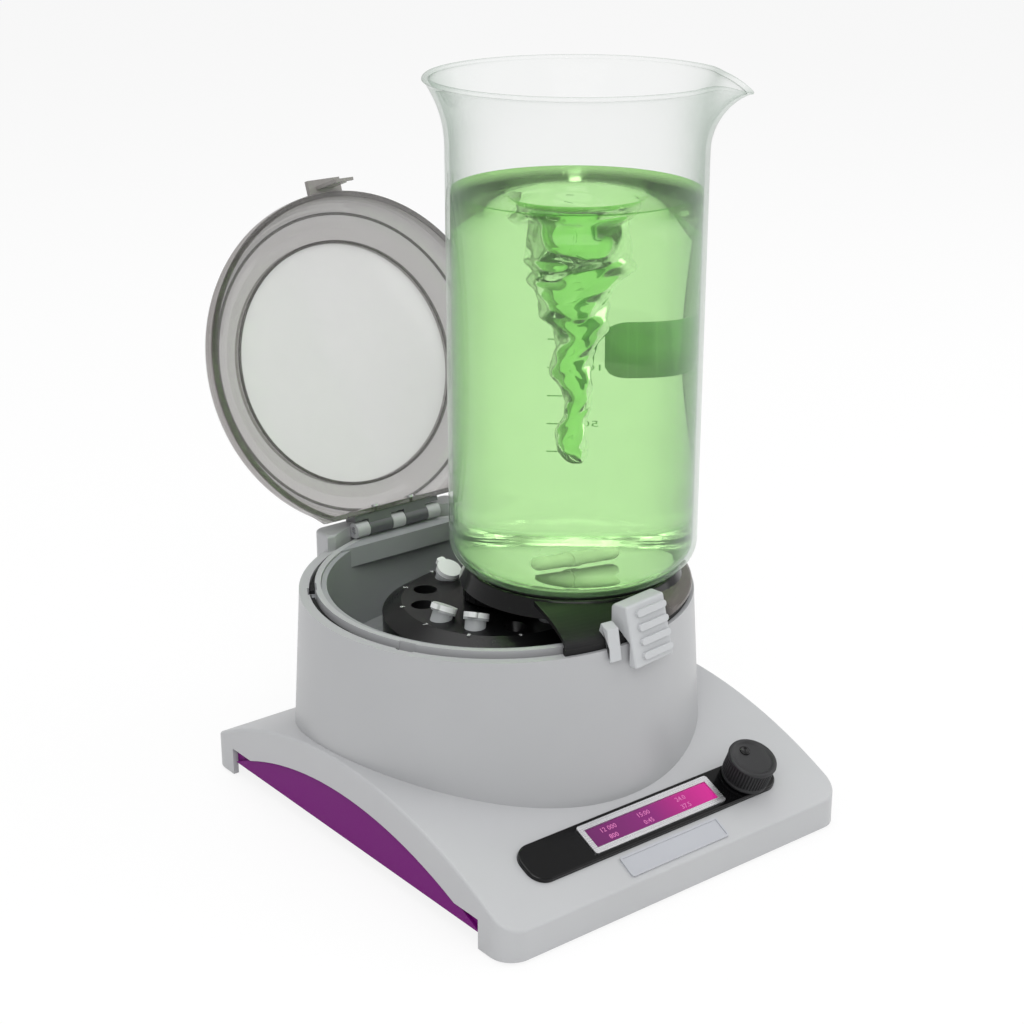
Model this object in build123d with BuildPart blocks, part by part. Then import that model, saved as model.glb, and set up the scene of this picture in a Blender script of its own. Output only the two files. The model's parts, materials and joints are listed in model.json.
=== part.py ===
from build123d import *
import os
from math import cos, hypot, pi, radians, sin, sqrt

# A bench instrument that spins sample tubes in a round bowl and stirs a beaker on top.
# Millimetres, +Z up. X runs along the front edge, -Y is the front with the display.
# The origin is on the bench, under the middle of the footprint with the lid open.

# Saddle-shaped base
side_margin = 1.5
front_shelf = 38.5
rear_shelf = 3.5
arch_end_height = 16.0
arch_rise = 34.0
shell_wall = 3.0
shell_lift = 1.0
corner_radius = 12.0
edge_round = 1.5
side_strip = 17.0
side_panel_bottom = 8.0
side_panel_thickness = 1.7
side_panel_recess = 1.5
side_panel_overlap = 4.0
plate_top = 8.0
plate_thickness = 3.0
foot_radius = 9.0
foot_inset_x = 18.0
foot_inset_y = 20.0
boss_radius = 5.0
boss_inset = 30.0
boss_gap = 1.5
boss_rear_inset = 20.0
screw_radius = 1.5
screw_head_radius = 3.0
screw_head_height = 2.0
screw_length = 12.0

# Round bowl housing
drum_foot_radius = 105.5
drum_rim_radius = 99.5
drum_wall = 3.0
rim_height = 112.0
rim_flange = 4.0
rim_round = 2.0
lip_radius = 91.5
lip_width = 3.0
lip_rise = 2.5
groove_width = 3.0
groove_depth = 3.5
notch_width = 9.0
notch_angles = (25, 150, 205, 330)
drum_boss_radius = 6.0
drum_boss_top = 60.0
shaft_well_radius = 80.0

# Liner inside the bowl
liner_wall = 2.7
liner_floor = 64.0
liner_floor_thickness = 2.0
liner_flange_width = 5.0
liner_hub_hole = 10.0
ledge_chord = 77.5
ledge_height = 10.5

# Motor under the liner
shaft_radius = 3.0
running_clearance = 0.05
motor_radius = 26.0
motor_bottom = 20.0
motor_wall = 2.5
bracket_gap = 2.5
bracket_thickness = 3.0
bracket_size = 76.0
bush_radius = 6.0
bush_spacing = 58.0
bearing_radius = 8.0
bearing_height = 5.0
stator_gap = 1.0
stator_inner = 14.0
stator_slots = 9
stator_slot_depth = 9.0
stator_slot_width = 2.4
motor_magnet_radius = 12.0
motor_magnet_height = 18.0

# Rotor and sample tubes
rotor_radius = 58.0
rotor_top = 103.0
rotor_thickness = 24.0
rotor_bevel = 6.0
rotor_recess_radius = 16.0
rotor_recess_depth = 8.0
tube_hole_radius = 5.6
tube_ring_radius = 38.0
tube_tilt = 25.0
tube_positions = 12
loaded_positions = (96, 186, 216, 276, 6, 36)
first_position = 6
tube_radius = 5.3
tube_length = 38.0
tube_tip = 14.0
tube_rim_radius = 6.4
tube_rim_height = 1.2
cap_height = 2.6
nut_radius = 11.0
nut_cap_radius = 17.0
nut_cap_height = 7.0
hub_magnet_radius = 3.0
hub_magnet_height = 3.0
hub_magnet_ring = 12.5
hub_magnet_count = 4

# Lid and its hinge
lid_radius = 90.0
lid_open_angle = 110.0
lid_wall = 2.5
lid_side_height = 4.0
lid_height = 19.0
lid_window_radius = 69.0
lid_window_thickness = 2.0
lid_seat_gap = 0.3
lid_chord = 7.5
lid_flange_width = 88.0
lid_flange_height = 3.5
gasket_height = 0.8
gasket_width = 2.6
hinge_setback = 88.0
hinge_rise = 7.0
hinge_width = 54.0
hinge_block_width = 90.0
hinge_block_depth = 15.0
hinge_block_reach = 13.0
hinge_block_rise = 1.5
hinge_block_drop = 14.0
knuckle_radius = 4.2
knuckle_clearance = 0.3
end_knuckle = 8.0
middle_knuckle = 8.0
pin_radius = 2.0
leaf_height = 9.0
leaf_gap = 0.6
strap_height = 6.4
strap_reach = 7.4
leaf_screw_radius = 1.0
leaf_screw_head = 1.9
leaf_screw_length = 6.0
leaf_screw_rise = 2.2
tab_width = 20.0
tab_reach = 7.0
tab_thickness = 3.0
hook_width = 11.0
hook_thickness = 1.6
hook_drop = 20.0
hook_hole = 5.0
hook_ring = 92.6
hook_slot_swing = 1.8
latch_travel = 4.0
latch_tongue = 3.0
latch_tongue_thickness = 1.8
latch_guide_wall = 0.8
latch_guide_gap = 0.25
latch_guide_length = 4.5

# Control panel on the front slope
panel_width = 156.0
panel_depth = 22.0
panel_corner = 9.0
panel_setback = 25.0
panel_proud = 2.0
panel_sunk = 1.2
bezel_width = 83.0
bezel_depth = 17.0
bezel_frame = 3.0
bezel_proud = 0.9
display_thickness = 1.2
knob_radius = 12.0
knob_height = 14.0
knob_inset = 17.0
knob_gap = 0.5
encoder_shaft_radius = 3.0
encoder_bush_radius = 4.0
encoder_size = 13.0
encoder_height = 6.0
name_plate_width = 62.0
name_plate_depth = 11.5
name_plate_thickness = 0.9
name_plate_setback = 7.8

# Electronics
board_width = 112.0
board_depth = 44.0
board_thickness = 1.6
board_standoff = 4.0
board_setback = 52.0
board_post_inset = 5.0
capacitor_radius = 5.0
capacitor_height = 11.0
capacitor_pitch = 13.0
chip_size = 14.0
capacitor_inset = 10.0
chip_height = 1.8
header_length = 13.0
header_width = 6.0
header_height = 7.0
header_pitch = 18.0
socket_length = 24.0
socket_width = 8.0
socket_height = 10.0
rear_panel_width = 64.0
rear_panel_height = 28.0
rear_panel_wall = 2.5
rear_panel_bottom = 56.0
rear_panel_proud = 3.0
rear_panel_reach = 12.0
rocker_width = 12.0
rocker_height = 18.0
rocker_offset = -14.0
rocker_angle = 9.0
rocker_clearance = 0.5
rocker_body = 2.6
pivot_radius = 1.0
inlet_radius = 6.0
inlet_bore = 3.2
inlet_pin = 1.0
inlet_offset = 16.0

# Stirring platform that sits on the rim
stir_offset_x = 29.0
stir_offset_y = -25.0
deck_thickness = 2.5
bell_top_radius = 53.0
bell_foot_radius = 57.0
bell_wall = 3.0
bell_lift = 1.0
pad_inner_radius = 30.0
pad_thickness = 0.8
skirt_drop = 1.0
skirt_wall = 2.5
skirt_round = 34.0
skirt_steps = 14
skirt_start = -109.0
skirt_end = 58.0
clip_angle = -83.0
clip_width = 27.0
clip_start = 89.0
clip_hang = 10.5
clip_rise = 7.0
clip_lean = 7.5
clip_gap = 0.5
clip_foot = 5.3
rib_count = 4
rib_pitch = 6.9
rib_length = 19.0
rib_width = 2.6
rib_height = 1.0
rib_shift = 2.5
carrier_radius = 40.0
carrier_thickness = 3.4
carrier_gap = 0.6
carrier_pin_radius = 2.5
carrier_pin_head = 5.0
carrier_pin_head_height = 0.6
carrier_pin_gap = 0.2
carrier_pin_cap = 0.6
drive_magnet_radius = 4.0
drive_magnet_height = 2.4
drive_magnet_ring = 25.0
drive_magnet_count = 8
cover_thickness = 1.0

# Beaker, its liquid and the stir bar
beaker_radius = 62.0
beaker_height = 240.0
beaker_wall = 2.2
beaker_corner = 14.0
flare_radius = 72.5
flare_height = 30.0
spout_tip_radius = 82.0
spout_mouth = 15.0
spout_foot = 10.0
spout_angle = -50.0
liquid_height = 187.0
liquid_gap = 0.05
vortex_radius = 37.0
vortex_throat = 9.0
vortex_depth = 130.0
bar_length = 40.0
bar_radius = 4.0
bar_ring = 4.0
bar_lift = 0.6

os.makedirs("parts", exist_ok=True)
pieces = {}

# Sizes that follow from the bowl and the panel, and the stack of the platform on the rim
base_width = 2 * (drum_foot_radius + side_margin)
front_reach = drum_foot_radius + front_shelf
rear_reach = drum_foot_radius + rear_shelf
boss_spacing_x = base_width - 2 * boss_inset
knob_offset = panel_width / 2 - knob_inset
skirt_radius = drum_rim_radius - 1
lip_top = rim_height + lip_rise
bell_foot = lip_top + bell_lift
cover_top = bell_foot + cover_thickness
pin_head_low = cover_top + carrier_pin_gap
pin_head_top = pin_head_low + carrier_pin_head_height
carrier_low = pin_head_top + carrier_pin_gap
carrier_top = carrier_low + carrier_thickness
deck_floor = carrier_top + carrier_gap
deck_height = deck_floor + deck_thickness
skirt_height = deck_height - skirt_drop

# Lid frame: X along the hinge, the lid runs to -Y, +Z is the outside of the dome
hinge_z = rim_height + hinge_rise
lid_floor = rim_height + lip_rise + lid_seat_gap + gasket_height - hinge_z
lid_tip = hinge_setback + lid_radius
tab_end = lid_tip + tab_reach
lid_side = lid_floor + lid_side_height
dome_top = lid_floor + lid_height
lean = radians(lid_open_angle - 90)
dome_bulge = hypot((lid_radius - lid_window_radius) * sin(lean), (dome_top - lid_side) * cos(lean))
dome_base = (hinge_setback + lid_window_radius) * sin(lean) + lid_side * cos(lean)
lid_back = hinge_setback + dome_base + dome_bulge
drum_y = (front_reach - lid_back) / 2
front_y = drum_y - front_reach
rear_y = drum_y + rear_reach
base_depth = front_reach + rear_reach
mid_y = (front_y + rear_y) / 2
hinge_y = drum_y + hinge_setback
open_rad = radians(lid_open_angle)
lid_plane = Plane(
    origin=(0, hinge_y, hinge_z), x_dir=(1, 0, 0), z_dir=(0, sin(open_rad), cos(open_rad))
)

# The saddle is a circular arc through both ends and the crown
arch_radius = ((base_depth / 2) ** 2 + arch_rise**2) / (2 * arch_rise)
arch_crown = arch_end_height + arch_rise
arch_centre = arch_crown - arch_radius


def arch_z(y, inset=0.0):
    """Height of the saddle, or of a surface that lies the inset below it."""
    return arch_centre + sqrt((arch_radius - inset) ** 2 - (y - mid_y) ** 2)


def arch_span(z, inset):
    """Half the length of the inset arc at one height."""
    return sqrt((arch_radius - inset) ** 2 - (z - arch_centre) ** 2)


def arch_block(width, low, inset=0.0, margin=0.0, mode=Mode.ADD):
    """Saddle-topped block between two ends, down to a flat underside."""
    near = front_y + margin
    far = rear_y - margin
    with BuildSketch(Plane.YZ) as profile:
        with BuildLine():
            ThreePointArc(
                (near, arch_z(near, inset)), (mid_y, arch_crown - inset), (far, arch_z(far, inset))
            )
            Polyline((far, arch_z(far, inset)), (far, low), (near, low), (near, arch_z(near, inset)))
        make_face()
    extrude(profile.sketch, amount=width / 2, both=True, mode=mode)


def lens_block(side, inner, outer, low, inset, mode=Mode.ADD):
    """Wall under the side strip: straight below, with the inset arc above."""
    reach = arch_span(low, inset)
    with BuildSketch(Plane.YZ.offset(side * inner)) as profile:
        with BuildLine():
            ThreePointArc((mid_y - reach, low), (mid_y, arch_crown - inset), (mid_y + reach, low))
            Line((mid_y + reach, low), (mid_y - reach, low))
        make_face()
    extrude(profile.sketch, amount=side * (outer - inner), mode=mode)


def turned(centre, points, arc=360, start=0, mode=Mode.ADD):
    """Revolve a closed outline of radius and height pairs about an upright axis."""
    profile_plane = Plane(
        origin=(centre[0], centre[1], 0),
        x_dir=(cos(radians(start)), sin(radians(start)), 0),
        z_dir=(sin(radians(start)), -cos(radians(start)), 0),
    )
    with BuildSketch(profile_plane) as profile:
        Polygon(*points, align=None)
    upright = Axis((centre[0], centre[1], 0), (0, 0, 1))
    revolve(profile.sketch, axis=upright, revolution_arc=arc, mode=mode)


def drum_radius(z):
    """Outside radius of the tapered bowl housing at one height."""
    wall_slope = (drum_foot_radius - drum_rim_radius) / (rim_height - arch_end_height)
    return drum_rim_radius + (rim_height - z) * wall_slope


def slope_plane(setback):
    """Plane that touches the front slope at a distance behind the front edge."""
    y = front_y + setback
    tilt = (y - mid_y) / arch_radius
    return Plane(origin=(0, y, arch_z(y)), x_dir=(1, 0, 0), z_dir=(0, tilt, sqrt(1 - tilt**2)))


drum = (0, drum_y)
stir = (stir_offset_x, drum_y + stir_offset_y)
drum_axis = Plane(origin=(*drum, 0))
stir_axis = Plane(origin=(*stir, 0))
panel_plane = slope_plane(panel_setback)
plate_plane = slope_plane(name_plate_setback)
half_width = base_width / 2
boss_front = panel_setback + encoder_size / 2 + boss_radius + boss_gap
boss_rows = (front_y + boss_front, rear_y - boss_rear_inset)
boss_places = [(side * boss_spacing_x / 2, y) for side in (-1, 1) for y in boss_rows]
foot_places = [
    (side * (half_width - foot_inset_x), y)
    for side in (-1, 1)
    for y in (front_y + foot_inset_y, rear_y - foot_inset_y)
]

drum_boss_ring = drum_radius(drum_boss_top) - drum_wall - drum_boss_radius + 1
drum_screw_places = [
    (sx * drum_boss_ring * sqrt(0.5), drum_y + sy * drum_boss_ring * sqrt(0.5))
    for sx in (-1, 1)
    for sy in (-1, 1)
]

# Base shell: arched cover with open sides and a pocket for the panel
with BuildPart() as base_bosses:
    with Locations([(x, y, plate_top) for x, y in boss_places]):
        Cylinder(boss_radius, arch_crown, align=(Align.CENTER, Align.CENTER, Align.MIN))
    arch_block(base_width - 2 * shell_wall, 0, shell_wall / 2, shell_wall, Mode.INTERSECT)
    with Locations([(x, y, plate_top) for x, y in boss_places]):
        Cylinder(screw_radius, 2 * screw_length, mode=Mode.SUBTRACT)

with BuildPart() as base_shell:
    arch_block(base_width, shell_lift)
    fillet(base_shell.edges().filter_by(Axis.Z), corner_radius)
    fillet(base_shell.faces().sort_by(Axis.Z)[-1].edges(), edge_round)
    with BuildPart(mode=Mode.PRIVATE) as base_cavity:
        arch_block(base_width - 2 * shell_wall, 0, shell_wall, shell_wall)
        fillet(base_cavity.edges().filter_by(Axis.Z), corner_radius - shell_wall)
    add(base_cavity.part, mode=Mode.SUBTRACT)
    side_reach = arch_span(side_panel_bottom, side_strip)
    for side in (-1, 1):
        lens_block(
            side, half_width - shell_wall - 1, half_width + 1, side_panel_bottom, side_strip, Mode.SUBTRACT
        )
    with Locations((0, mid_y, side_panel_bottom)):
        Box(base_width + 2, 2 * side_reach, 2 * side_panel_bottom, mode=Mode.SUBTRACT)
    add(base_bosses.part)
    with BuildSketch(drum_axis):
        Circle(shaft_well_radius)
    extrude(amount=2 * arch_crown, mode=Mode.SUBTRACT)
    with Locations([(x, y, arch_crown) for x, y in drum_screw_places]):
        Cylinder(screw_radius, arch_crown, mode=Mode.SUBTRACT)
    with BuildSketch(panel_plane):
        RectangleRounded(panel_width, panel_depth, panel_corner)
    extrude(amount=-panel_sunk, mode=Mode.SUBTRACT)
    with BuildSketch(panel_plane):
        Rectangle(bezel_width - 2 * bezel_frame, bezel_depth - 2 * bezel_frame)
        with Locations((knob_offset, 0)):
            Circle(encoder_bush_radius + 0.3)
    extrude(amount=-3 * shell_wall, both=True, mode=Mode.SUBTRACT)
pieces["base_shell"] = base_shell

# Purple side panels, held behind the shell's wall by a hidden border
panel_outer = half_width - side_panel_recess
panel_inner = half_width - shell_wall - side_panel_thickness
for side, name in ((-1, "side_panel_left"), (1, "side_panel_right")):
    with BuildPart() as side_panel:
        lens_block(side, panel_inner, panel_outer, side_panel_bottom, side_strip + 0.2)
        border = side_strip - side_panel_overlap
        lens_block(side, panel_inner, half_width - shell_wall, side_panel_bottom, border)
    pieces[name] = side_panel

# Bottom plate with board posts
board_y = front_y + board_setback + board_depth / 2
board_posts = [
    (side * (board_width / 2 - board_post_inset), board_y + row * (board_depth / 2 - board_post_inset))
    for side in (-1, 1)
    for row in (-1, 1)
]
plate_width = 2 * panel_inner - 0.4
plate_length = base_depth - 2 * shell_wall - 0.6
with BuildPart() as base_plate:
    with BuildSketch(Plane(origin=(0, mid_y, plate_top - plate_thickness))):
        RectangleRounded(plate_width, plate_length, corner_radius - shell_wall)
    extrude(amount=plate_thickness)
    with Locations([(x, y, plate_top) for x, y in board_posts]):
        Cylinder(3, board_standoff, align=(Align.CENTER, Align.CENTER, Align.MIN))
    with Locations([(x, y, plate_top - plate_thickness) for x, y in boss_places]):
        CounterBoreHole(screw_radius, screw_head_radius + 0.2, screw_head_height)
pieces["base_plate"] = base_plate

with BuildPart() as rubber_feet:
    with BuildSketch(Plane.XY):
        with Locations(foot_places):
            Circle(foot_radius)
    extrude(amount=plate_top - plate_thickness)
    fillet(rubber_feet.faces().sort_by(Axis.Z)[0].edges(), 1)
pieces["rubber_feet"] = rubber_feet

with BuildPart() as base_screws:
    with Locations([(x, y, plate_top - plate_thickness) for x, y in boss_places]):
        Cylinder(screw_head_radius, screw_head_height, align=(Align.CENTER, Align.CENTER, Align.MIN))
        Cylinder(screw_radius, screw_length, align=(Align.CENTER, Align.CENTER, Align.MIN))
pieces["base_screws"] = base_screws

# Bowl housing: tapered wall, flat rim with a groove and a raised lip
lip_inner = lip_radius - lip_width
liner_outer = lip_inner - 0.2
groove_outer = lip_radius + groove_width
drum_low = arch_end_height
flange_bottom = rim_height - rim_flange
rear_panel_y = drum_y + drum_radius(rear_panel_bottom) + rear_panel_proud
rear_panel_depth = min(rear_panel_reach, rear_panel_y - drum_y - liner_outer - 1)
hook_slot_width = hook_width + 1.5
hook_slot_inner = hook_ring - hook_thickness / 2 - 0.3
hook_slot_outer = hook_ring + hook_thickness / 2 + hook_slot_swing
hook_slot_depth = hook_slot_outer - hook_slot_inner
with BuildPart() as drum_housing:
    turned(
        drum,
        [
            (drum_radius(drum_low), drum_low),
            (drum_rim_radius, rim_height),
            (groove_outer, rim_height),
            (groove_outer, rim_height - groove_depth),
            (lip_radius, rim_height - groove_depth),
            (lip_radius, lip_top),
            (lip_inner, lip_top),
            (lip_inner, flange_bottom),
            (drum_radius(flange_bottom) - drum_wall, flange_bottom),
            (drum_radius(drum_low) - drum_wall, drum_low),
        ],
    )
    fillet(drum_housing.edges().filter_by(GeomType.CIRCLE).group_by(SortBy.RADIUS)[-2], rim_round)
    with BuildSketch(Plane.XY):
        with Locations(drum_screw_places):
            Circle(drum_boss_radius)
    extrude(amount=drum_boss_top)
    with BuildSketch(Plane.XY):
        with Locations(drum_screw_places):
            Circle(screw_radius)
    extrude(amount=drum_boss_top - 4, mode=Mode.SUBTRACT)
    arch_block(base_width, -1, mode=Mode.SUBTRACT)
    for angle in notch_angles:
        with Locations((*drum, rim_height)):
            with PolarLocations((lip_radius + groove_outer) / 2, 1, start_angle=angle):
                Box(groove_width + 1.6, notch_width, 2 * groove_depth + 1.4, mode=Mode.SUBTRACT)
    with BuildSketch(Plane.XY.offset(rim_height + 1)):
        with Locations((0, drum_y - hook_slot_outer)):
            Rectangle(hook_slot_width, hook_slot_depth, align=(Align.CENTER, Align.MIN))
    extrude(amount=-rim_flange - 2, mode=Mode.SUBTRACT)
    with Locations((0, rear_panel_y, rear_panel_bottom)):
        Box(
            rear_panel_width, 2 * rear_panel_depth, rear_panel_height,
            align=(Align.CENTER, Align.CENTER, Align.MIN), mode=Mode.SUBTRACT
        )
pieces["drum_housing"] = drum_housing

with BuildPart() as drum_screws:
    for x, y in drum_screw_places:
        head_top = min(arch_z(y - screw_head_radius), arch_z(y + screw_head_radius)) - 1.05 * shell_wall
        with Locations((x, y, head_top)):
            Cylinder(screw_head_radius, screw_head_height, align=(Align.CENTER, Align.CENTER, Align.MAX))
            Cylinder(screw_radius, screw_length, align=(Align.CENTER, Align.CENTER, Align.MIN))
pieces["drum_screws"] = drum_screws

# Bowl liner with its sound floor and a straight ledge under the back of the lid
liner_radius = liner_outer - liner_wall
liner_bottom = liner_floor - liner_floor_thickness
liner_flange = liner_outer + liner_flange_width
with BuildPart() as chamber_liner:
    turned(
        drum,
        [
            (liner_hub_hole, liner_bottom),
            (liner_outer, liner_bottom),
            (liner_outer, flange_bottom - 2),
            (liner_flange, flange_bottom - 2),
            (liner_flange, flange_bottom),
            (liner_outer, flange_bottom),
            (liner_outer, lip_top - 1),
            (liner_radius, lip_top - 1),
            (liner_radius, liner_floor + 4),
            (liner_radius - 4, liner_floor),
            (liner_hub_hole + 2, liner_floor),
            (liner_hub_hole + 2, liner_floor + 3),
            (liner_hub_hole, liner_floor + 3),
        ],
    )
    with BuildSketch(Plane(origin=(*drum, lip_top - ledge_height))):
        Circle(liner_outer)
        with Locations((0, ledge_chord)):
            Rectangle(4 * liner_outer, 4 * liner_outer, align=(Align.CENTER, Align.MAX), mode=Mode.SUBTRACT)
    extrude(amount=ledge_height)
    with BuildSketch(Plane.XY.offset(flange_bottom)):
        with Locations((0, drum_y - hook_slot_outer)):
            Rectangle(hook_slot_width, hook_slot_depth, align=(Align.CENTER, Align.MIN))
    extrude(amount=-rim_flange, mode=Mode.SUBTRACT)
pieces["chamber_liner"] = chamber_liner

# Soft seal in the rim groove, notched like the rim
with BuildPart() as rim_seal:
    turned(
        drum,
        [
            (lip_radius, rim_height - groove_depth),
            (groove_outer, rim_height - groove_depth),
            (groove_outer - 0.4, rim_height - 1.6),
            (lip_radius + 0.4, rim_height - 1.6),
        ],
    )
    for angle in notch_angles:
        with Locations((*drum, rim_height - groove_depth)):
            with PolarLocations(lip_radius, 1, start_angle=angle):
                Box(4 * groove_width, notch_width, 4 * groove_depth, mode=Mode.SUBTRACT)
    with Locations((0, drum_y - hook_ring, rim_height)):
        Box(hook_slot_width, 4 * groove_width, 4 * groove_depth, mode=Mode.SUBTRACT)
pieces["rim_seal"] = rim_seal

# Motor hung from the liner's floor on four soft bushes
bracket_top = liner_bottom - bracket_gap
bracket_bottom = bracket_top - bracket_thickness
motor_top = bracket_bottom
bush_half = bush_spacing / 2
bush_places = [(sx * bush_half, drum_y + sy * bush_half) for sx in (-1, 1) for sy in (-1, 1)]
with BuildPart() as damper_bushes:
    with BuildSketch(Plane.XY.offset(bracket_top)):
        with Locations(bush_places):
            Circle(bush_radius)
            Circle(screw_radius, mode=Mode.SUBTRACT)
    extrude(amount=bracket_gap)
pieces["damper_bushes"] = damper_bushes

with BuildPart() as motor_bracket:
    with BuildSketch(Plane(origin=(*drum, bracket_bottom))):
        RectangleRounded(bracket_size, bracket_size, 2 * bush_radius - 4)
        Circle(bearing_radius + 2, mode=Mode.SUBTRACT)
        with GridLocations(bush_spacing, bush_spacing, 2, 2):
            Circle(screw_radius, mode=Mode.SUBTRACT)
    extrude(amount=bracket_thickness)
pieces["motor_bracket"] = motor_bracket

with BuildPart() as motor_screws:
    with Locations([(x, y, bracket_bottom) for x, y in bush_places]):
        Cylinder(screw_head_radius, screw_head_height, align=(Align.CENTER, Align.CENTER, Align.MAX))
        Cylinder(
            screw_radius, bracket_thickness + bracket_gap, align=(Align.CENTER, Align.CENTER, Align.MIN)
        )
pieces["motor_screws"] = motor_screws

with BuildPart() as motor_can:
    turned(
        drum,
        [
            (bearing_radius, motor_bottom),
            (motor_radius, motor_bottom),
            (motor_radius, motor_top),
            (bearing_radius, motor_top),
            (bearing_radius, motor_top - bearing_height),
            (bearing_radius + 2, motor_top - bearing_height),
            (bearing_radius + 2, motor_top - motor_wall),
            (motor_radius - motor_wall, motor_top - motor_wall),
            (motor_radius - motor_wall, motor_bottom + motor_wall),
            (bearing_radius + 2, motor_bottom + motor_wall),
            (bearing_radius + 2, motor_bottom + bearing_height),
            (bearing_radius, motor_bottom + bearing_height),
        ],
    )
    fillet(motor_can.edges().filter_by(GeomType.CIRCLE).group_by(SortBy.RADIUS)[-1], 1.5)
pieces["motor_can"] = motor_can

bearing_bore = shaft_radius + running_clearance
for name, low in (("lower_bearing", motor_bottom), ("upper_bearing", motor_top - bearing_height)):
    with BuildPart() as bearing:
        with BuildSketch(Plane(origin=(*drum, low))):
            Circle(bearing_radius)
            Circle(bearing_bore, mode=Mode.SUBTRACT)
        extrude(amount=bearing_height)
    pieces[name] = bearing

stator_low = motor_bottom + bearing_height + stator_gap
stator_high = motor_top - bearing_height - stator_gap
with BuildPart() as motor_stator:
    with BuildSketch(Plane(origin=(*drum, stator_low))):
        Circle(motor_radius - motor_wall)
        Circle(stator_inner, mode=Mode.SUBTRACT)
        with PolarLocations(stator_inner, stator_slots):
            Rectangle(stator_slot_depth, stator_slot_width, mode=Mode.SUBTRACT)
    extrude(amount=stator_high - stator_low)
pieces["motor_stator"] = motor_stator

motor_middle = (motor_bottom + motor_top) / 2
with BuildPart() as motor_magnet:
    with BuildSketch(Plane(origin=(*drum, motor_middle - motor_magnet_height / 2))):
        Circle(motor_magnet_radius)
        Circle(shaft_radius, mode=Mode.SUBTRACT)
    extrude(amount=motor_magnet_height)
pieces["motor_magnet"] = motor_magnet

# Rotor: tilted tube holes through a bevelled disc, a recess for the nut
rotor_bottom = rotor_top - rotor_thickness
recess_floor = rotor_top - rotor_recess_depth
nut_shoulder = rotor_top + 1
nut_top = nut_shoulder + nut_cap_height
shaft_top = nut_shoulder + 2
tilt = radians(tube_tilt)


def tube_plane(angle, along=0.0):
    """Plane across a tube hole, with +Z out of its mouth, a distance along from the mouth."""
    turn = radians(angle)
    outward = Vector(cos(turn), sin(turn), 0)
    axis = outward * -sin(tilt) + Vector(0, 0, cos(tilt))
    mouth = Vector(*drum, rotor_top) + outward * tube_ring_radius
    return Plane(origin=mouth + axis * along, x_dir=Vector(-sin(turn), cos(turn), 0), z_dir=axis)


tube_angles = [first_position + step * 360 / tube_positions for step in range(tube_positions)]
with BuildPart() as rotor:
    turned(
        drum,
        [
            (shaft_radius, rotor_bottom),
            (rotor_radius, rotor_bottom),
            (rotor_radius, rotor_top - rotor_bevel),
            (rotor_radius - 1.6 * rotor_bevel, rotor_top),
            (rotor_recess_radius, rotor_top),
            (rotor_recess_radius, recess_floor),
            (shaft_radius, recess_floor),
        ],
    )
    for angle in tube_angles:
        with BuildSketch(tube_plane(angle)) as tube_hole:
            Circle(tube_hole_radius)
        extrude(tube_hole.sketch, amount=2 * rotor_thickness, both=True, mode=Mode.SUBTRACT)
pieces["rotor"] = rotor

with BuildPart() as motor_shaft:
    with Locations((*drum, motor_bottom - 2)):
        Cylinder(shaft_radius, shaft_top - motor_bottom + 2, align=(Align.CENTER, Align.CENTER, Align.MIN))
    chamfer(motor_shaft.edges().filter_by(GeomType.CIRCLE), 0.6)
pieces["motor_shaft"] = motor_shaft

# Rotor nut with a knurled cap that carries the coupling magnets
with BuildPart() as rotor_nut:
    turned(
        drum,
        [
            (0, shaft_top),
            (shaft_radius, shaft_top),
            (shaft_radius, recess_floor),
            (nut_radius, recess_floor),
            (nut_radius, nut_shoulder),
            (nut_cap_radius, nut_shoulder),
            (nut_cap_radius, nut_top),
            (0, nut_top),
        ],
    )
    chamfer(rotor_nut.edges().filter_by(GeomType.CIRCLE).group_by(SortBy.RADIUS)[-1], 0.8)
    with BuildSketch(Plane(origin=(*drum, nut_shoulder))):
        with PolarLocations(nut_cap_radius, 24):
            Circle(0.6)
    extrude(amount=nut_cap_height, mode=Mode.SUBTRACT)
    with BuildSketch(Plane(origin=(*drum, nut_top))):
        with PolarLocations(hub_magnet_ring, hub_magnet_count, start_angle=45):
            Circle(hub_magnet_radius)
    extrude(amount=-hub_magnet_height, mode=Mode.SUBTRACT)
pieces["rotor_nut"] = rotor_nut

with BuildPart() as hub_magnets:
    with BuildSketch(Plane(origin=(*drum, nut_top - hub_magnet_height))):
        with PolarLocations(hub_magnet_ring, hub_magnet_count, start_angle=45):
            Circle(hub_magnet_radius)
    extrude(amount=hub_magnet_height)
pieces["hub_magnets"] = hub_magnets

# Sample tubes: straight body, conical tip, a rim that rests on the rotor
tube_rest = tube_rim_radius * sin(tilt) / cos(tilt)
with BuildPart() as sample_tubes:
    for angle in loaded_positions:
        with BuildSketch(tube_plane(angle, tube_rest)) as rim_disc:
            Circle(tube_rim_radius)
        extrude(rim_disc.sketch, amount=tube_rim_height)
        with BuildSketch(tube_plane(angle, tube_rest)) as tube_body:
            Circle(tube_radius)
        extrude(tube_body.sketch, amount=tube_tip - tube_length)
        with BuildSketch(tube_plane(angle, tube_rest + tube_tip - tube_length)) as tip_top:
            Circle(tube_radius)
        with BuildSketch(tube_plane(angle, tube_rest - tube_length)) as tip_end:
            Circle(tube_radius / 3)
        loft([tip_top.sketch, tip_end.sketch])
pieces["sample_tubes"] = sample_tubes

with BuildPart() as tube_caps:
    for angle in loaded_positions:
        with BuildSketch(tube_plane(angle, tube_rest + tube_rim_height)) as cap_disc:
            Circle(tube_rim_radius)
            with Locations((0, -tube_rim_radius)):
                RectangleRounded(5, 4, 1.5)
        extrude(cap_disc.sketch, amount=cap_height)
pieces["tube_caps"] = tube_caps

# Lid, built in its open place: dome cut straight near the hinge, flange, clear window
lid_centre = (0, -hinge_setback)
window_seat = 1.2


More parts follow.
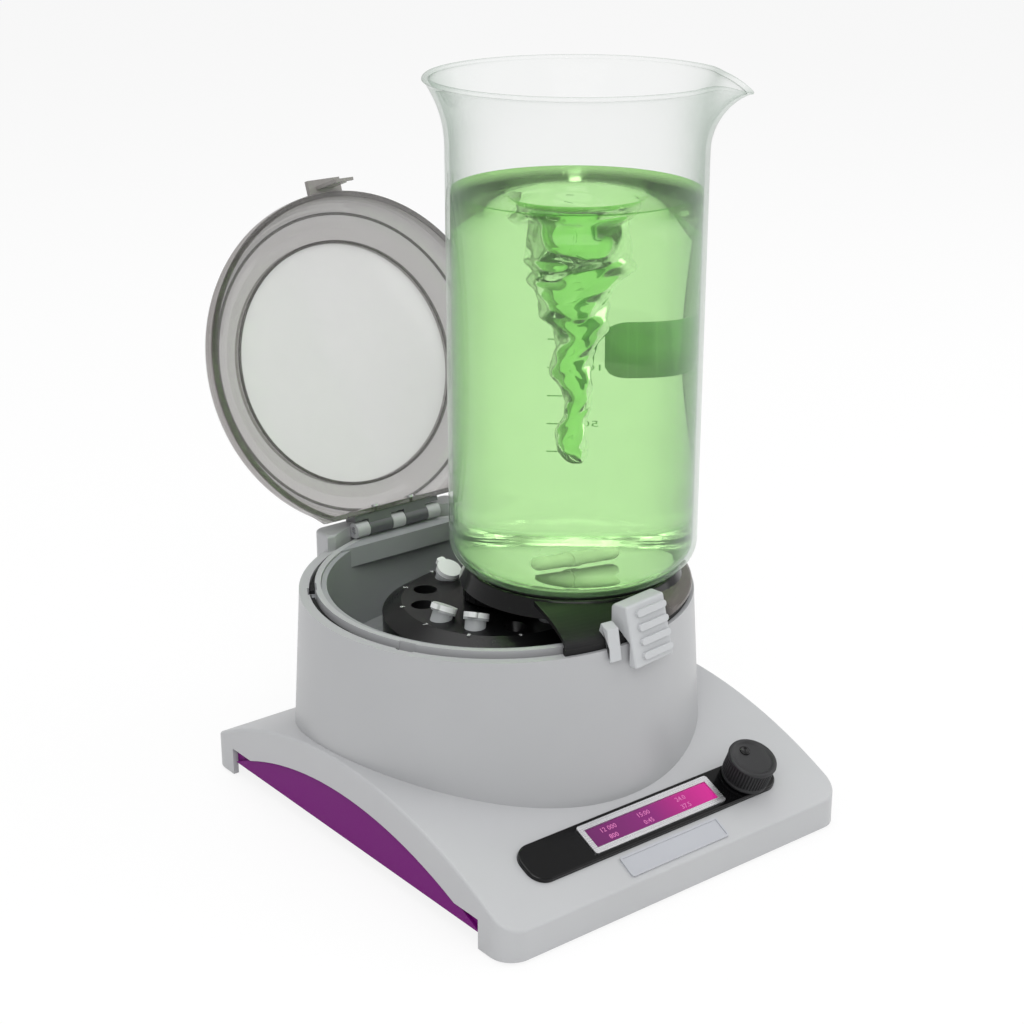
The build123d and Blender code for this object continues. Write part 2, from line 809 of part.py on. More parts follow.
def on_lid(x, y, z):
    """Plane parallel to the lid at a point of the lid frame."""
    return Plane(
        origin=lid_plane.from_local_coords(Vector(x, y, z)), x_dir=lid_plane.x_dir, z_dir=lid_plane.z_dir
    )


def lid_turned(points, mode=Mode.ADD):
    """Revolve a closed outline of radius and height pairs about the lid's own axis."""
    profile_plane = Plane(
        origin=lid_plane.from_local_coords(Vector(*lid_centre, 0)),
        x_dir=lid_plane.x_dir,
        z_dir=lid_plane.y_dir * -1,
    )
    with BuildSketch(profile_plane) as profile:
        Polygon(*points, align=None)
    axis = Axis(profile_plane.origin, lid_plane.z_dir)
    revolve(profile.sketch, axis=axis, mode=mode)


def dome_outline(radius, floor, side, top, flat, steps=10):
    """Radius and height pairs up the bulge of the dome, from its skirt to its flat top."""
    points = [(radius, floor), (radius, side)]
    for step in range(1, steps + 1):
        turn = pi / 2 * step / steps
        points.append((flat + (radius - flat) * cos(turn), side + (top - side) * sin(turn)))
    return points


def chord_cut(y):
    """Cut away what lies beyond a straight line across the lid, on the hinge's side."""
    with BuildSketch(on_lid(0, y, lid_floor - lid_height)) as beyond:
        Rectangle(4 * lid_radius, 4 * lid_radius, align=(Align.CENTER, Align.MIN))
    extrude(beyond.sketch, amount=3 * lid_height, mode=Mode.SUBTRACT)


with BuildPart() as lid_form:
    outside = dome_outline(lid_radius, lid_floor, lid_side, dome_top, lid_window_radius)
    lid_turned([(0, lid_floor)] + outside + [(0, dome_top)])
    with BuildSketch(on_lid(0, 0, lid_floor)) as flange:
        with Locations(lid_centre):
            Circle(lid_radius - 0.5)
        with Locations((0, -lid_chord)):
            Rectangle(lid_flange_width, 2, align=(Align.CENTER, Align.MAX))
        make_hull()
    extrude(flange.sketch, amount=lid_flange_height)
    chord_cut(-lid_chord)

with BuildPart() as lid_room:
    inside = dome_outline(
        lid_radius - lid_wall, lid_floor - 1, lid_side, dome_top - lid_wall, lid_window_radius - lid_wall
    )
    lid_turned([(0, lid_floor - 1)] + inside + [(0, dome_top - lid_wall)])
    chord_cut(-lid_chord - lid_wall)


def leaf_screw_plane(x):
    """Plane across a hinge screw on the inside of the lid's straight wall, +Z towards the hinge."""
    return Plane(
        origin=lid_plane.from_local_coords(Vector(x, -lid_chord - lid_wall, lid_floor + leaf_screw_rise)),
        x_dir=lid_plane.x_dir,
        z_dir=lid_plane.y_dir,
    )


half_hinge = hinge_width / 2
ears = (
    (-half_hinge, -half_hinge + end_knuckle),
    (-middle_knuckle / 2, middle_knuckle / 2),
    (half_hinge - end_knuckle, half_hinge),
)
moving = (
    (ears[0][1] + knuckle_clearance, ears[1][0] - knuckle_clearance),
    (ears[1][1] + knuckle_clearance, ears[2][0] - knuckle_clearance),
)
leaf_screw_places = [(low + high) / 2 for low, high in moving]
with BuildPart() as lid_shell:
    add(lid_form.part)
    add(lid_room.part, mode=Mode.SUBTRACT)
    with BuildSketch(on_lid(0, -hinge_setback, dome_top + 1)) as window_hole:
        Circle(lid_window_radius - lid_wall - 2)
    extrude(window_hole.sketch, amount=-2 * lid_wall - 2, mode=Mode.SUBTRACT)
    with BuildSketch(on_lid(0, -hinge_setback, dome_top - window_seat)) as seat_hole:
        Circle(lid_window_radius - lid_wall)
    extrude(seat_hole.sketch, amount=2 * window_seat, mode=Mode.SUBTRACT)
    for x in leaf_screw_places:
        with BuildSketch(leaf_screw_plane(x)) as screw_hole:
            Circle(leaf_screw_radius)
        extrude(screw_hole.sketch, amount=leaf_screw_length, mode=Mode.SUBTRACT)
pieces["lid_shell"] = lid_shell

with BuildPart() as lid_window:
    with BuildSketch(on_lid(0, -hinge_setback, dome_top - window_seat)) as window_disc:
        Circle(lid_window_radius - lid_wall - 0.1)
    extrude(window_disc.sketch, amount=lid_window_thickness)
    fillet(lid_window.edges().filter_by(GeomType.CIRCLE), 0.5)
pieces["lid_window"] = lid_window

with BuildPart() as lid_gasket:
    with BuildSketch(on_lid(0, -hinge_setback, lid_floor)) as gasket_disc:
        Circle(lid_radius - 0.4)
    extrude(gasket_disc.sketch, amount=-gasket_height)
    chord_cut(-lid_chord)
    with BuildPart(mode=Mode.PRIVATE) as gasket_room:
        with BuildSketch(on_lid(0, -hinge_setback, lid_floor + 1)) as gasket_hole:
            Circle(lid_radius - 0.4 - gasket_width)
        extrude(gasket_hole.sketch, amount=-gasket_height - 2)
        chord_cut(-lid_chord - gasket_width)
    add(gasket_room.part, mode=Mode.SUBTRACT)
pieces["lid_gasket"] = lid_gasket

# Latch tab with its hook, screwed to the lid's free end
hook_place = -(hinge_setback + hook_ring)
tab_root = -(lid_tip - 4)
with BuildPart() as lid_latch:
    with BuildSketch(on_lid(0, 0, lid_floor)) as tab_plate:
        with Locations((0, -tab_end)):
            Rectangle(tab_width, tab_end + tab_root, align=(Align.CENTER, Align.MIN))
        with Locations(lid_centre):
            Circle(lid_radius + 0.05, mode=Mode.SUBTRACT)
    extrude(tab_plate.sketch, amount=tab_thickness)
    with BuildSketch(on_lid(0, hook_place, lid_floor)) as hook_plate:
        Rectangle(hook_width, hook_thickness)
    extrude(hook_plate.sketch, amount=-hook_drop)
    with BuildSketch(on_lid(0, 0, lid_floor - hook_drop + hook_hole / 2 + 2)) as hook_window:
        with Locations((hook_width / 2, hook_place)):
            Rectangle(hook_width, 2 * hook_thickness)
    extrude(hook_window.sketch, amount=hook_hole / 2, both=True, mode=Mode.SUBTRACT)
pieces["lid_latch"] = lid_latch

# Hinge: three fixed knuckles in the block behind the rim, two moving ones on the leaf
bracket_low = rim_height - hinge_block_drop
block_top = hinge_z + hinge_block_rise
block_inner = groove_outer + 0.4


def knuckle(low, high, back=0):
    """One knuckle about the hinge pin, with a strap to the block when a length is given."""
    with BuildSketch(Plane(origin=(low, hinge_y, hinge_z), x_dir=(0, 1, 0), z_dir=(1, 0, 0))) as barrel:
        Circle(knuckle_radius)
        if back:
            with Locations((0, -knuckle_radius)):
                Rectangle(back, knuckle_radius + hinge_block_rise, align=(Align.MIN, Align.MIN))
    extrude(barrel.sketch, amount=high - low)


def pin_bore(radius):
    """Bore along the hinge pin, right across the hinge."""
    bore_plane = Plane(origin=(-half_hinge, hinge_y, hinge_z), x_dir=(0, 1, 0), z_dir=(1, 0, 0))
    with BuildSketch(bore_plane) as bore:
        Circle(radius)
    extrude(bore.sketch, amount=hinge_width, mode=Mode.SUBTRACT)


with BuildPart() as hinge_bracket:
    with Locations((0, hinge_y + hinge_block_reach, bracket_low)):
        Box(
            hinge_block_width, hinge_block_depth, block_top - bracket_low,
            align=(Align.CENTER, Align.MAX, Align.MIN)
        )
    fillet(hinge_bracket.edges().filter_by(Axis.Z).group_by(Axis.Y)[-1], 6)
    fillet(hinge_bracket.faces().sort_by(Axis.Z)[-1].edges(), 1.5)
    turned(
        drum,
        [
            (0, 0), (drum_radius(0) + 0.02, 0), (drum_rim_radius + 0.02, rim_height),
            (drum_rim_radius + 0.02, rim_height + 0.02), (block_inner, rim_height + 0.02),
            (block_inner, block_top + 1), (0, block_top + 1)
        ],
        mode=Mode.SUBTRACT,
    )
    with Locations((0, hinge_y + knuckle_radius + leaf_gap, rim_height)):
        Box(
            hinge_width + leaf_gap, 2 * hinge_block_depth, 2 * hinge_block_depth,
            align=(Align.CENTER, Align.MAX, Align.MIN), mode=Mode.SUBTRACT
        )
    for low, high in ears:
        knuckle(low, high, strap_reach)
    pin_bore(pin_radius)
pieces["hinge_bracket"] = hinge_bracket

with BuildPart() as hinge_pin:
    with BuildSketch(Plane(origin=(-half_hinge, hinge_y, hinge_z), x_dir=(0, 1, 0), z_dir=(1, 0, 0))):
        Circle(pin_radius)
    extrude(amount=hinge_width)
    chamfer(hinge_pin.edges().filter_by(GeomType.CIRCLE), 0.4)
pieces["hinge_pin"] = hinge_pin

leaf_start = knuckle_radius + leaf_gap
with BuildPart() as hinge_leaf:
    with BuildSketch(on_lid(0, -leaf_start, lid_floor)) as bridge:
        Rectangle(hinge_width, lid_chord - leaf_start, align=(Align.CENTER, Align.MAX))
    extrude(bridge.sketch, amount=leaf_height)
    lid_up = Axis(lid_plane.origin, lid_plane.z_dir)
    fillet(hinge_leaf.edges().filter_by(Axis.X).sort_by(lid_up)[-2:], 1)
    for low, high in moving:
        knuckle(low, high)
        with BuildSketch(on_lid(0, 0, lid_floor)) as strap:
            with Locations(((low + high) / 2, 0)):
                Rectangle(high - low, lid_chord, align=(Align.CENTER, Align.MAX))
        extrude(strap.sketch, amount=strap_height)
    pin_bore(pin_radius + running_clearance)
    for x in leaf_screw_places:
        with BuildSketch(leaf_screw_plane(x)) as screw_hole:
            Circle(leaf_screw_radius)
        extrude(screw_hole.sketch, amount=leaf_screw_length, mode=Mode.SUBTRACT)
pieces["hinge_leaf"] = hinge_leaf

with BuildPart() as leaf_screws:
    for x in leaf_screw_places:
        with BuildSketch(leaf_screw_plane(x)) as shank:
            Circle(leaf_screw_radius)
        extrude(shank.sketch, amount=leaf_screw_length)
        with BuildSketch(leaf_screw_plane(x)) as head:
            Circle(leaf_screw_head)
        extrude(head.sketch, amount=-1.2)
pieces["leaf_screws"] = leaf_screws

# Latch slider inside the bowl wall and its guide
hook_y = drum_y - hook_ring
hook_tip_z = hinge_z + lid_floor - hook_drop
tongue_z = hook_tip_z + hook_hole / 2 + 2
slider_start = hook_slot_width / 2 + 0.5
slider_length = 10.0
with BuildPart() as latch_slider:
    with Locations((slider_start + slider_length / 2, hook_y, tongue_z)):
        Box(slider_length, latch_tongue_thickness, latch_tongue)
pieces["latch_slider"] = latch_slider

guide_height = latch_tongue + 2 * latch_guide_gap
guide_depth = latch_tongue_thickness + 2 * latch_guide_gap
guide_middle = slider_start + 0.5 + latch_guide_length / 2
guide_outer = drum_radius(tongue_z) - drum_wall / 2
with BuildPart() as latch_guide:
    with Locations((guide_middle, drum_y - guide_outer, tongue_z)):
        Box(
            latch_guide_length,
            guide_outer - hook_ring + guide_depth / 2 + latch_guide_wall,
            guide_height + 2 * latch_guide_wall,
            align=(Align.CENTER, Align.MIN, Align.CENTER)
        )
    with Locations((guide_middle, hook_y, tongue_z)):
        Box(latch_guide_length, guide_depth, guide_height, mode=Mode.SUBTRACT)
    add(drum_housing.part, mode=Mode.SUBTRACT)
pieces["latch_guide"] = latch_guide

# Control panel: glossy slab, metal bezel, display, knob on its encoder
with BuildPart() as panel_fascia:
    with BuildSketch(panel_plane.offset(-panel_sunk)):
        RectangleRounded(panel_width - 0.3, panel_depth - 0.3, panel_corner - 0.15)
        Rectangle(bezel_width - 2 * bezel_frame, bezel_depth - 2 * bezel_frame, mode=Mode.SUBTRACT)
        with Locations((knob_offset, 0)):
            Circle(encoder_bush_radius + 0.3, mode=Mode.SUBTRACT)
    extrude(amount=panel_sunk + panel_proud)
    face_line = Axis(panel_plane.origin, panel_plane.z_dir)
    fascia_top = panel_fascia.faces().filter_by(face_line).sort_by(face_line)[-1]
    fillet(fascia_top.outer_wire().edges(), 0.8)
pieces["panel_fascia"] = panel_fascia

with BuildPart() as display_bezel:
    with BuildSketch(panel_plane.offset(panel_proud)):
        RectangleRounded(bezel_width, bezel_depth, 1.5)
        Rectangle(bezel_width - 2 * bezel_frame, bezel_depth - 2 * bezel_frame, mode=Mode.SUBTRACT)
    extrude(amount=bezel_proud)
pieces["display_bezel"] = display_bezel

window_width = bezel_width - 2 * bezel_frame - 0.2
window_depth = bezel_depth - 2 * bezel_frame - 0.2
with BuildPart() as display_window:
    with BuildSketch(panel_plane.offset(panel_proud - display_thickness)):
        Rectangle(window_width, window_depth)
    extrude(amount=display_thickness + 0.2)
pieces["display_window"] = display_window

with BuildPart() as display_module:
    with BuildSketch(panel_plane.offset(-shell_wall - 1.5)):
        Rectangle(window_width, window_depth)
    extrude(amount=shell_wall + 1.5 + panel_proud - display_thickness)
    with BuildSketch(panel_plane.offset(-shell_wall - 3)):
        Rectangle(bezel_width + 6, bezel_depth)
    extrude(amount=1.5)
pieces["display_module"] = display_module

encoder_top = -shell_wall - 0.4
with BuildPart() as encoder:
    with BuildSketch(panel_plane.offset(encoder_top - encoder_height)):
        with Locations((knob_offset, 0)):
            Rectangle(encoder_size, encoder_size)
    extrude(amount=encoder_height)
    with BuildSketch(panel_plane.offset(encoder_top)):
        with Locations((knob_offset, 0)):
            Circle(encoder_bush_radius)
    extrude(amount=panel_proud - encoder_top)
    with BuildSketch(panel_plane.offset(encoder_top - encoder_height + 1)):
        with Locations((knob_offset, 0)):
            Circle(encoder_shaft_radius + running_clearance)
    extrude(amount=2 * encoder_height + shell_wall + panel_proud, mode=Mode.SUBTRACT)
pieces["encoder"] = encoder

shaft_start = encoder_top - encoder_height + 1.3
knob_floor = panel_proud + knob_gap
with BuildPart() as encoder_shaft:
    with BuildSketch(panel_plane.offset(shaft_start)):
        with Locations((knob_offset, 0)):
            Circle(encoder_shaft_radius)
    extrude(amount=knob_floor + knob_height - 4 - shaft_start)
pieces["encoder_shaft"] = encoder_shaft

with BuildPart() as knob:
    with BuildSketch(panel_plane.offset(knob_floor)):
        with Locations((knob_offset, 0)):
            Circle(knob_radius)
    extrude(amount=knob_height, taper=-3)
    fillet(knob.edges().filter_by(GeomType.CIRCLE).sort_by(Axis.Z)[-1], 1.2)
    with BuildSketch(panel_plane.offset(knob_floor)):
        with Locations((knob_offset, 0)):
            Circle(encoder_shaft_radius)
    extrude(amount=knob_height - 4, mode=Mode.SUBTRACT)
    with BuildSketch(panel_plane.offset(knob_floor + knob_height)):
        with Locations((knob_offset, knob_radius * 0.45)):
            Circle(1.8)
    extrude(amount=-0.8, mode=Mode.SUBTRACT)
pieces["knob"] = knob

with BuildPart() as name_plate:
    with BuildSketch(plate_plane):
        RectangleRounded(name_plate_width, name_plate_depth, 1.5)
    extrude(amount=name_plate_thickness)
    with BuildSketch(plate_plane.offset(name_plate_thickness)):
        Rectangle(name_plate_width - 2.4, name_plate_depth - 2.4)
    extrude(amount=-0.4, mode=Mode.SUBTRACT)
    arch_block(base_width, 0, mode=Mode.SUBTRACT)
pieces["name_plate"] = name_plate

# Control board on the bottom plate's posts, and what stands on it
board_low = plate_top + board_standoff
board_top = board_low + board_thickness
with BuildPart() as main_board:
    with BuildSketch(Plane(origin=(0, board_y, board_low))):
        RectangleRounded(board_width, board_depth, 2)
    extrude(amount=board_thickness)
pieces["main_board"] = main_board

board_face = Plane(origin=(0, board_y, board_top))
board_end = board_width / 2
board_edge = board_depth / 2
capacitor_x = 2 * capacitor_pitch - capacitor_inset - board_end
header_x = board_end - header_pitch
with BuildPart() as board_parts:
    with BuildSketch(board_face):
        with Locations((capacitor_x, board_edge / 3), (capacitor_x + capacitor_pitch, board_edge / 3)):
            Circle(capacitor_radius)
    extrude(amount=capacitor_height)
    with BuildSketch(board_face):
        with Locations((-chip_size / 3, -chip_size / 3)):
            Rectangle(chip_size, chip_size)
    extrude(amount=chip_height)
    with BuildSketch(board_face):
        with Locations((header_x - header_pitch / 2, 0)):
            with GridLocations(header_pitch, board_depth - 2 * header_width - 3, 2, 2):
                Rectangle(header_length, header_width)
    extrude(amount=header_height)
    with BuildSketch(board_face):
        with Locations((header_x, 0)):
            Rectangle(socket_length, socket_width)
    extrude(amount=socket_height)
pieces["board_parts"] = board_parts

# Rear service panel with the power switch and the power inlet
service_middle = rear_panel_bottom + rear_panel_height / 2
service_plane = Plane(origin=(0, rear_panel_y, service_middle), x_dir=(-1, 0, 0), z_dir=(0, 1, 0))
switch_width = rocker_width + 2 * rocker_clearance + 2.4
switch_height = rocker_height + 2 * rocker_clearance + 2.4
switch_depth = rear_panel_depth - 4
inlet_length = rear_panel_depth
switch_flange = 1.5
with BuildPart() as rear_panel:
    with BuildSketch(service_plane):
        Rectangle(rear_panel_width, rear_panel_height)
    extrude(amount=-rear_panel_depth)
    with BuildSketch(service_plane.offset(-rear_panel_wall)):
        Rectangle(rear_panel_width - 2 * rear_panel_wall, rear_panel_height - 2 * rear_panel_wall)
    extrude(amount=-rear_panel_depth, mode=Mode.SUBTRACT)
    with BuildSketch(service_plane):
        with Locations((rocker_offset, 0)):
            Rectangle(switch_width, switch_height)
        with Locations((inlet_offset, 0)):
            Circle(inlet_radius)
    extrude(amount=-rear_panel_depth, mode=Mode.SUBTRACT)
pieces["rear_panel"] = rear_panel

pivot_reach = rocker_width / 2 + rocker_clearance + 0.8
pivot_plane = Plane(
    origin=(-rocker_offset, rear_panel_y, service_middle), x_dir=(0, 1, 0), z_dir=(1, 0, 0)
)
with BuildPart() as power_switch:
    with BuildSketch(service_plane.offset(-switch_depth)):
        with Locations((rocker_offset, 0)):
            Rectangle(switch_width, switch_height)
    extrude(amount=switch_depth)
    with BuildSketch(service_plane):
        with Locations((rocker_offset, 0)):
            RectangleRounded(switch_width + 3, switch_height + 3, 1.5)
    extrude(amount=switch_flange)
    with BuildSketch(service_plane.offset(switch_flange)):
        with Locations((rocker_offset, 0)):
            Rectangle(rocker_width + 2 * rocker_clearance, rocker_height + 2 * rocker_clearance)
    extrude(amount=-switch_flange - switch_depth + 1.5, mode=Mode.SUBTRACT)
    with BuildSketch(pivot_plane):
        Circle(pivot_radius + running_clearance)
    extrude(amount=pivot_reach + 0.1, both=True, mode=Mode.SUBTRACT)
pieces["power_switch"] = power_switch

rocker_turn = radians(rocker_angle)
rocker_plane = Plane(
    origin=(-rocker_offset, rear_panel_y, service_middle),
    x_dir=(-1, 0, 0),
    z_dir=(0, cos(rocker_turn), sin(rocker_turn)),
)
with BuildPart() as power_rocker:
    with BuildSketch(rocker_plane.offset(-rocker_body)):
        Rectangle(rocker_width, rocker_height)
    extrude(amount=rocker_body + switch_flange + 1)
    fillet(power_rocker.faces().sort_by(Axis.Y)[-1].edges(), 0.6)
    with BuildSketch(pivot_plane):
        Circle(pivot_radius)
    extrude(amount=pivot_reach, both=True)
pieces["power_rocker"] = power_rocker

with BuildPart() as power_inlet:
    with BuildSketch(service_plane.offset(-inlet_length + 1.2)):
        with Locations((inlet_offset, 0)):
            Circle(inlet_radius)
    extrude(amount=inlet_length)
    with BuildSketch(service_plane):
        with Locations((inlet_offset, 0)):
            Circle(inlet_radius + 1.5)
    extrude(amount=1.2)
    with BuildSketch(service_plane.offset(1.2)):
        with Locations((inlet_offset, 0)):
            Circle(inlet_bore)
            Circle(inlet_pin, mode=Mode.SUBTRACT)
    extrude(amount=-inlet_length + 2, mode=Mode.SUBTRACT)
pieces["power_inlet"] = power_inlet

# Stirring platform: a round bell under the beaker, joined to a skirt that sits on the rim
bell_slope = (bell_foot_radius - bell_top_radius) / (deck_height - bell_foot)


def bell_inner(z):
    """Inside radius of the bell at one height."""
    return bell_top_radius + (deck_height - z) * bell_slope - bell_wall


bell_outline = [
    (0, bell_foot), (bell_foot_radius, bell_foot), (bell_top_radius, deck_height), (0, deck_height)
]
with BuildPart() as platform_bell:
    turned(stir, bell_outline)
    fillet(platform_bell.faces().sort_by(Axis.Z)[-1].edges(), 1.2)
    turned(
        stir,
        [
            (0, bell_foot - 1),
            (bell_inner(bell_foot - 1), bell_foot - 1),
            (bell_inner(deck_floor), deck_floor),
            (0, deck_floor),
        ],
        mode=Mode.SUBTRACT,
    )
    with BuildSketch(stir_axis.offset(deck_floor)):
        Circle(carrier_pin_radius)
    extrude(amount=deck_thickness - carrier_pin_cap, mode=Mode.SUBTRACT)
pieces["platform_bell"] = platform_bell

with BuildPart() as drive_cover:
    with BuildSketch(stir_axis.offset(bell_foot)):
        Circle(bell_inner(cover_top))
    extrude(amount=cover_thickness)
pieces["drive_cover"] = drive_cover

with BuildPart() as carrier_pin:
    with BuildSketch(stir_axis.offset(pin_head_low)):
        Circle(carrier_pin_head)
    extrude(amount=pin_head_top - pin_head_low)
    with BuildSketch(stir_axis.offset(pin_head_low)):
        Circle(carrier_pin_radius)
    extrude(amount=deck_height - carrier_pin_cap - pin_head_low)
pieces["carrier_pin"] = carrier_pin

with BuildPart() as magnet_carrier:
    with BuildSketch(stir_axis.offset(carrier_low)):
        Circle(carrier_radius)
        Circle(carrier_pin_radius + running_clearance, mode=Mode.SUBTRACT)
    extrude(amount=carrier_thickness)
    with BuildSketch(stir_axis.offset(carrier_top)):
        with PolarLocations(drive_magnet_ring, drive_magnet_count):
            Circle(drive_magnet_radius)
    extrude(amount=-drive_magnet_height, mode=Mode.SUBTRACT)
pieces["magnet_carrier"] = magnet_carrier

with BuildPart() as drive_magnets:
    with BuildSketch(stir_axis.offset(carrier_top - drive_magnet_height)):
        with PolarLocations(drive_magnet_ring, drive_magnet_count):
            Circle(drive_magnet_radius)
    extrude(amount=drive_magnet_height)
pieces["drive_magnets"] = drive_magnets

with BuildPart() as platform_pad:
    with BuildSketch(stir_axis.offset(deck_height)):
        Circle(bell_top_radius - 2)
        Circle(pad_inner_radius, mode=Mode.SUBTRACT)
    extrude(amount=pad_thickness)
pieces["platform_pad"] = platform_pad

skirt_sweep = skirt_end - skirt_start
skirt_low = lip_top + 0.7
skirt_side = skirt_low + 0.5
skirt_outside = dome_outline(
    skirt_radius, skirt_low, skirt_side, skirt_height, skirt_radius - skirt_round, skirt_steps
)
skirt_inside = dome_outline(
    skirt_radius - skirt_wall, skirt_low, skirt_side, skirt_height - skirt_wall,
    skirt_radius - skirt_round - 1, skirt_steps
)
skirt_centre = bell_top_radius / 4
with BuildPart() as platform_skirt:
    turned(
        drum,
        skirt_outside
        + [(skirt_centre, skirt_height), (skirt_centre, skirt_height - skirt_wall)]
        + skirt_inside[::-1],
        skirt_sweep,
        skirt_start,
    )
    turned(stir, bell_outline, mode=Mode.SUBTRACT)
pieces["platform_skirt"] = platform_skirt

with BuildPart() as platform_seal:
    turned(
        drum,
        [
            (groove_outer + 0.1, rim_height),
            (drum_rim_radius - rim_round, rim_height),
            (skirt_radius - 0.3, skirt_low),
            (groove_outer + 0.1, skirt_low),
        ],
        skirt_sweep,
        skirt_start,
    )
pieces["platform_seal"] = platform_seal

# Ribbed grip that stands on the skirt and hangs over the front of the rim
clip_turn = radians(clip_angle)
clip_out = Vector(cos(clip_turn), sin(clip_turn), 0)
clip_across = Vector(-sin(clip_turn), cos(clip_turn), 0)
clip_low = rim_height - clip_hang
clip_top = deck_height + clip_rise
clip_inner = drum_radius(clip_low) + clip_gap
clip_outer = clip_inner + clip_foot
clip_section = Plane(
    origin=Vector(*drum, 0) - clip_across * (clip_width / 2), x_dir=clip_out, z_dir=clip_across * -1
)
clip_face_height = clip_top - clip_low
face_middle = clip_out * (clip_outer - clip_lean / 2) + Vector(*drum, (clip_top + clip_low) / 2)
clip_face = Plane(
    origin=face_middle, x_dir=clip_across, z_dir=clip_out * clip_face_height + Vector(0, 0, clip_lean)
)
skirt_mid_radius = skirt_radius - skirt_wall / 2
with BuildPart() as platform_clip:
    with BuildSketch(clip_section) as side_view:
        Polygon(
            (clip_start, skirt_height - 3.2),
            (clip_start + 3, skirt_height - 4),
            (skirt_mid_radius, skirt_side + 0.9),
            (skirt_radius + 0.5, skirt_side - 0.3),
            (clip_inner, skirt_side - 2),
            (clip_inner, clip_low),
            (clip_outer, clip_low),
            (clip_outer - clip_lean, clip_top),
            (clip_start + 2, clip_top),
            (clip_start, clip_top - 2),
            align=None,
        )
    extrude(side_view.sketch, amount=-clip_width)
    fillet(platform_clip.faces().sort_by(Axis(drum_axis.origin, clip_out))[-1].edges(), 0.8)
    add(platform_skirt.part, mode=Mode.SUBTRACT)
    with BuildSketch(clip_face) as ribs:
        with Locations((rib_shift, 0)):
            with GridLocations(1, rib_pitch, 1, rib_count):
                SlotOverall(rib_length, rib_width)
    extrude(ribs.sketch, amount=rib_height)
pieces["platform_clip"] = platform_clip

# Tall glass beaker with a flared rim and a pouring spout
beaker_floor = deck_height + pad_thickness
beaker_top = beaker_floor + beaker_height
flare_start = beaker_top - flare_height


def beaker_wall_line(inset, rise):
    """Half section of the beaker's outside, or of its inside when inset by the wall."""
    side = beaker_radius - inset
    corner = beaker_corner - inset
    low = beaker_floor + rise
    centre_r = side - corner
    centre_z = low + corner
    flare = flare_radius - inset
    flare_mid = side + (flare - side) * 0.26
    return [
        Line((0, low), (centre_r, low)),
        ThreePointArc(
            (centre_r, low),
            (centre_r + corner * sqrt(0.5), centre_z - corner * sqrt(0.5)),
            (side, centre_z),
        ),
        Line((side, centre_z), (side, flare_start)),
        ThreePointArc(
            (side, flare_start), (flare_mid, (flare_start + beaker_top) / 2 + 1), (flare, beaker_top)
        ),
    ]


def beaker_solid(inset, rise, mode=Mode.ADD):
    """Solid of revolution inside one wall line of the beaker."""
    section = Plane(origin=(*stir, 0), x_dir=(1, 0, 0), z_dir=(0, -1, 0))
    with BuildSketch(section) as profile:
        with BuildLine():
            wall = beaker_wall_line(inset, rise)
            Polyline(wall[-1] @ 1, (0, beaker_top), (0, beaker_floor + rise))
        make_face()
    revolve(profile.sketch, axis=Axis((*stir, 0), (0, 0, 1)), mode=mode)


spout_turn = radians(spout_angle)
spout_out = (cos(spout_turn), sin(spout_turn))


def spout_circle(height, radius, tip, inset):
    """One round section of the spout, its far side at the tip radius less the inset."""
    with BuildSketch(stir_axis.offset(height)) as section:
        with Locations(((tip - radius) * spout_out[0], (tip - radius) * spout_out[1])):
            Circle(radius - inset)
    return section.sketch


def spout_solid(inset, mode):
    """Oblique cone that leaves the wall at the foot of the flare and pushes the rim out."""
    foot = spout_circle(flare_start, spout_foot, beaker_radius - 0.5, inset)
    mouth = spout_circle(beaker_top, spout_mouth, spout_tip_radius, inset)
    loft([foot, mouth], mode=mode)


with BuildPart() as beaker:
    beaker_solid(0, 0)
    spout_solid(0, Mode.ADD)
    beaker_solid(beaker_wall, beaker_wall, Mode.SUBTRACT)
    spout_solid(beaker_wall, Mode.SUBTRACT)
pieces["beaker"] = beaker

# Stirred liquid: fills the beaker to its level, drawn down to a vortex in the middle
liquid_low = beaker_floor + beaker_wall + liquid_gap
liquid_top = beaker_floor + liquid_height
liquid_side = beaker_radius - beaker_wall - liquid_gap
liquid_corner = beaker_corner - beaker_wall - liquid_gap
bar_room = bar_length / 2 + 1.5
bar_ceiling = liquid_low + bar_lift + 2 * bar_radius + 1.5
with BuildPart() as liquid:
    with BuildSketch(Plane(origin=(*stir, 0), x_dir=(1, 0, 0), z_dir=(0, -1, 0))):
        with BuildLine():
            Polyline(
                (bar_room, bar_ceiling), (bar_room, liquid_low), (liquid_side - liquid_corner, liquid_low)
            )
            ThreePointArc(
                (liquid_side - liquid_corner, liquid_low),
                (
                    liquid_side - liquid_corner * (1 - sqrt(0.5)),
                    liquid_low + liquid_corner * (1 - sqrt(0.5)),
                ),
                (liquid_side, liquid_low + liquid_corner),
            )
            Polyline(
                (liquid_side, liquid_low + liquid_corner),
                (liquid_side, liquid_top),
                (vortex_radius, liquid_top),
            )
            Spline(
                (vortex_radius, liquid_top),
                (vortex_radius * 0.6, liquid_top - vortex_depth * 0.2),
                (vortex_throat * 1.7, liquid_top - vortex_depth * 0.48),
                (vortex_throat * 0.8, liquid_top - vortex_depth * 0.8),
                (0, liquid_top - vortex_depth),
            )
            Polyline((0, liquid_top - vortex_depth), (0, bar_ceiling), (bar_room, bar_ceiling))
        make_face()
    revolve(axis=Axis((*stir, 0), (0, 0, 1)))
pieces["liquid"] = liquid

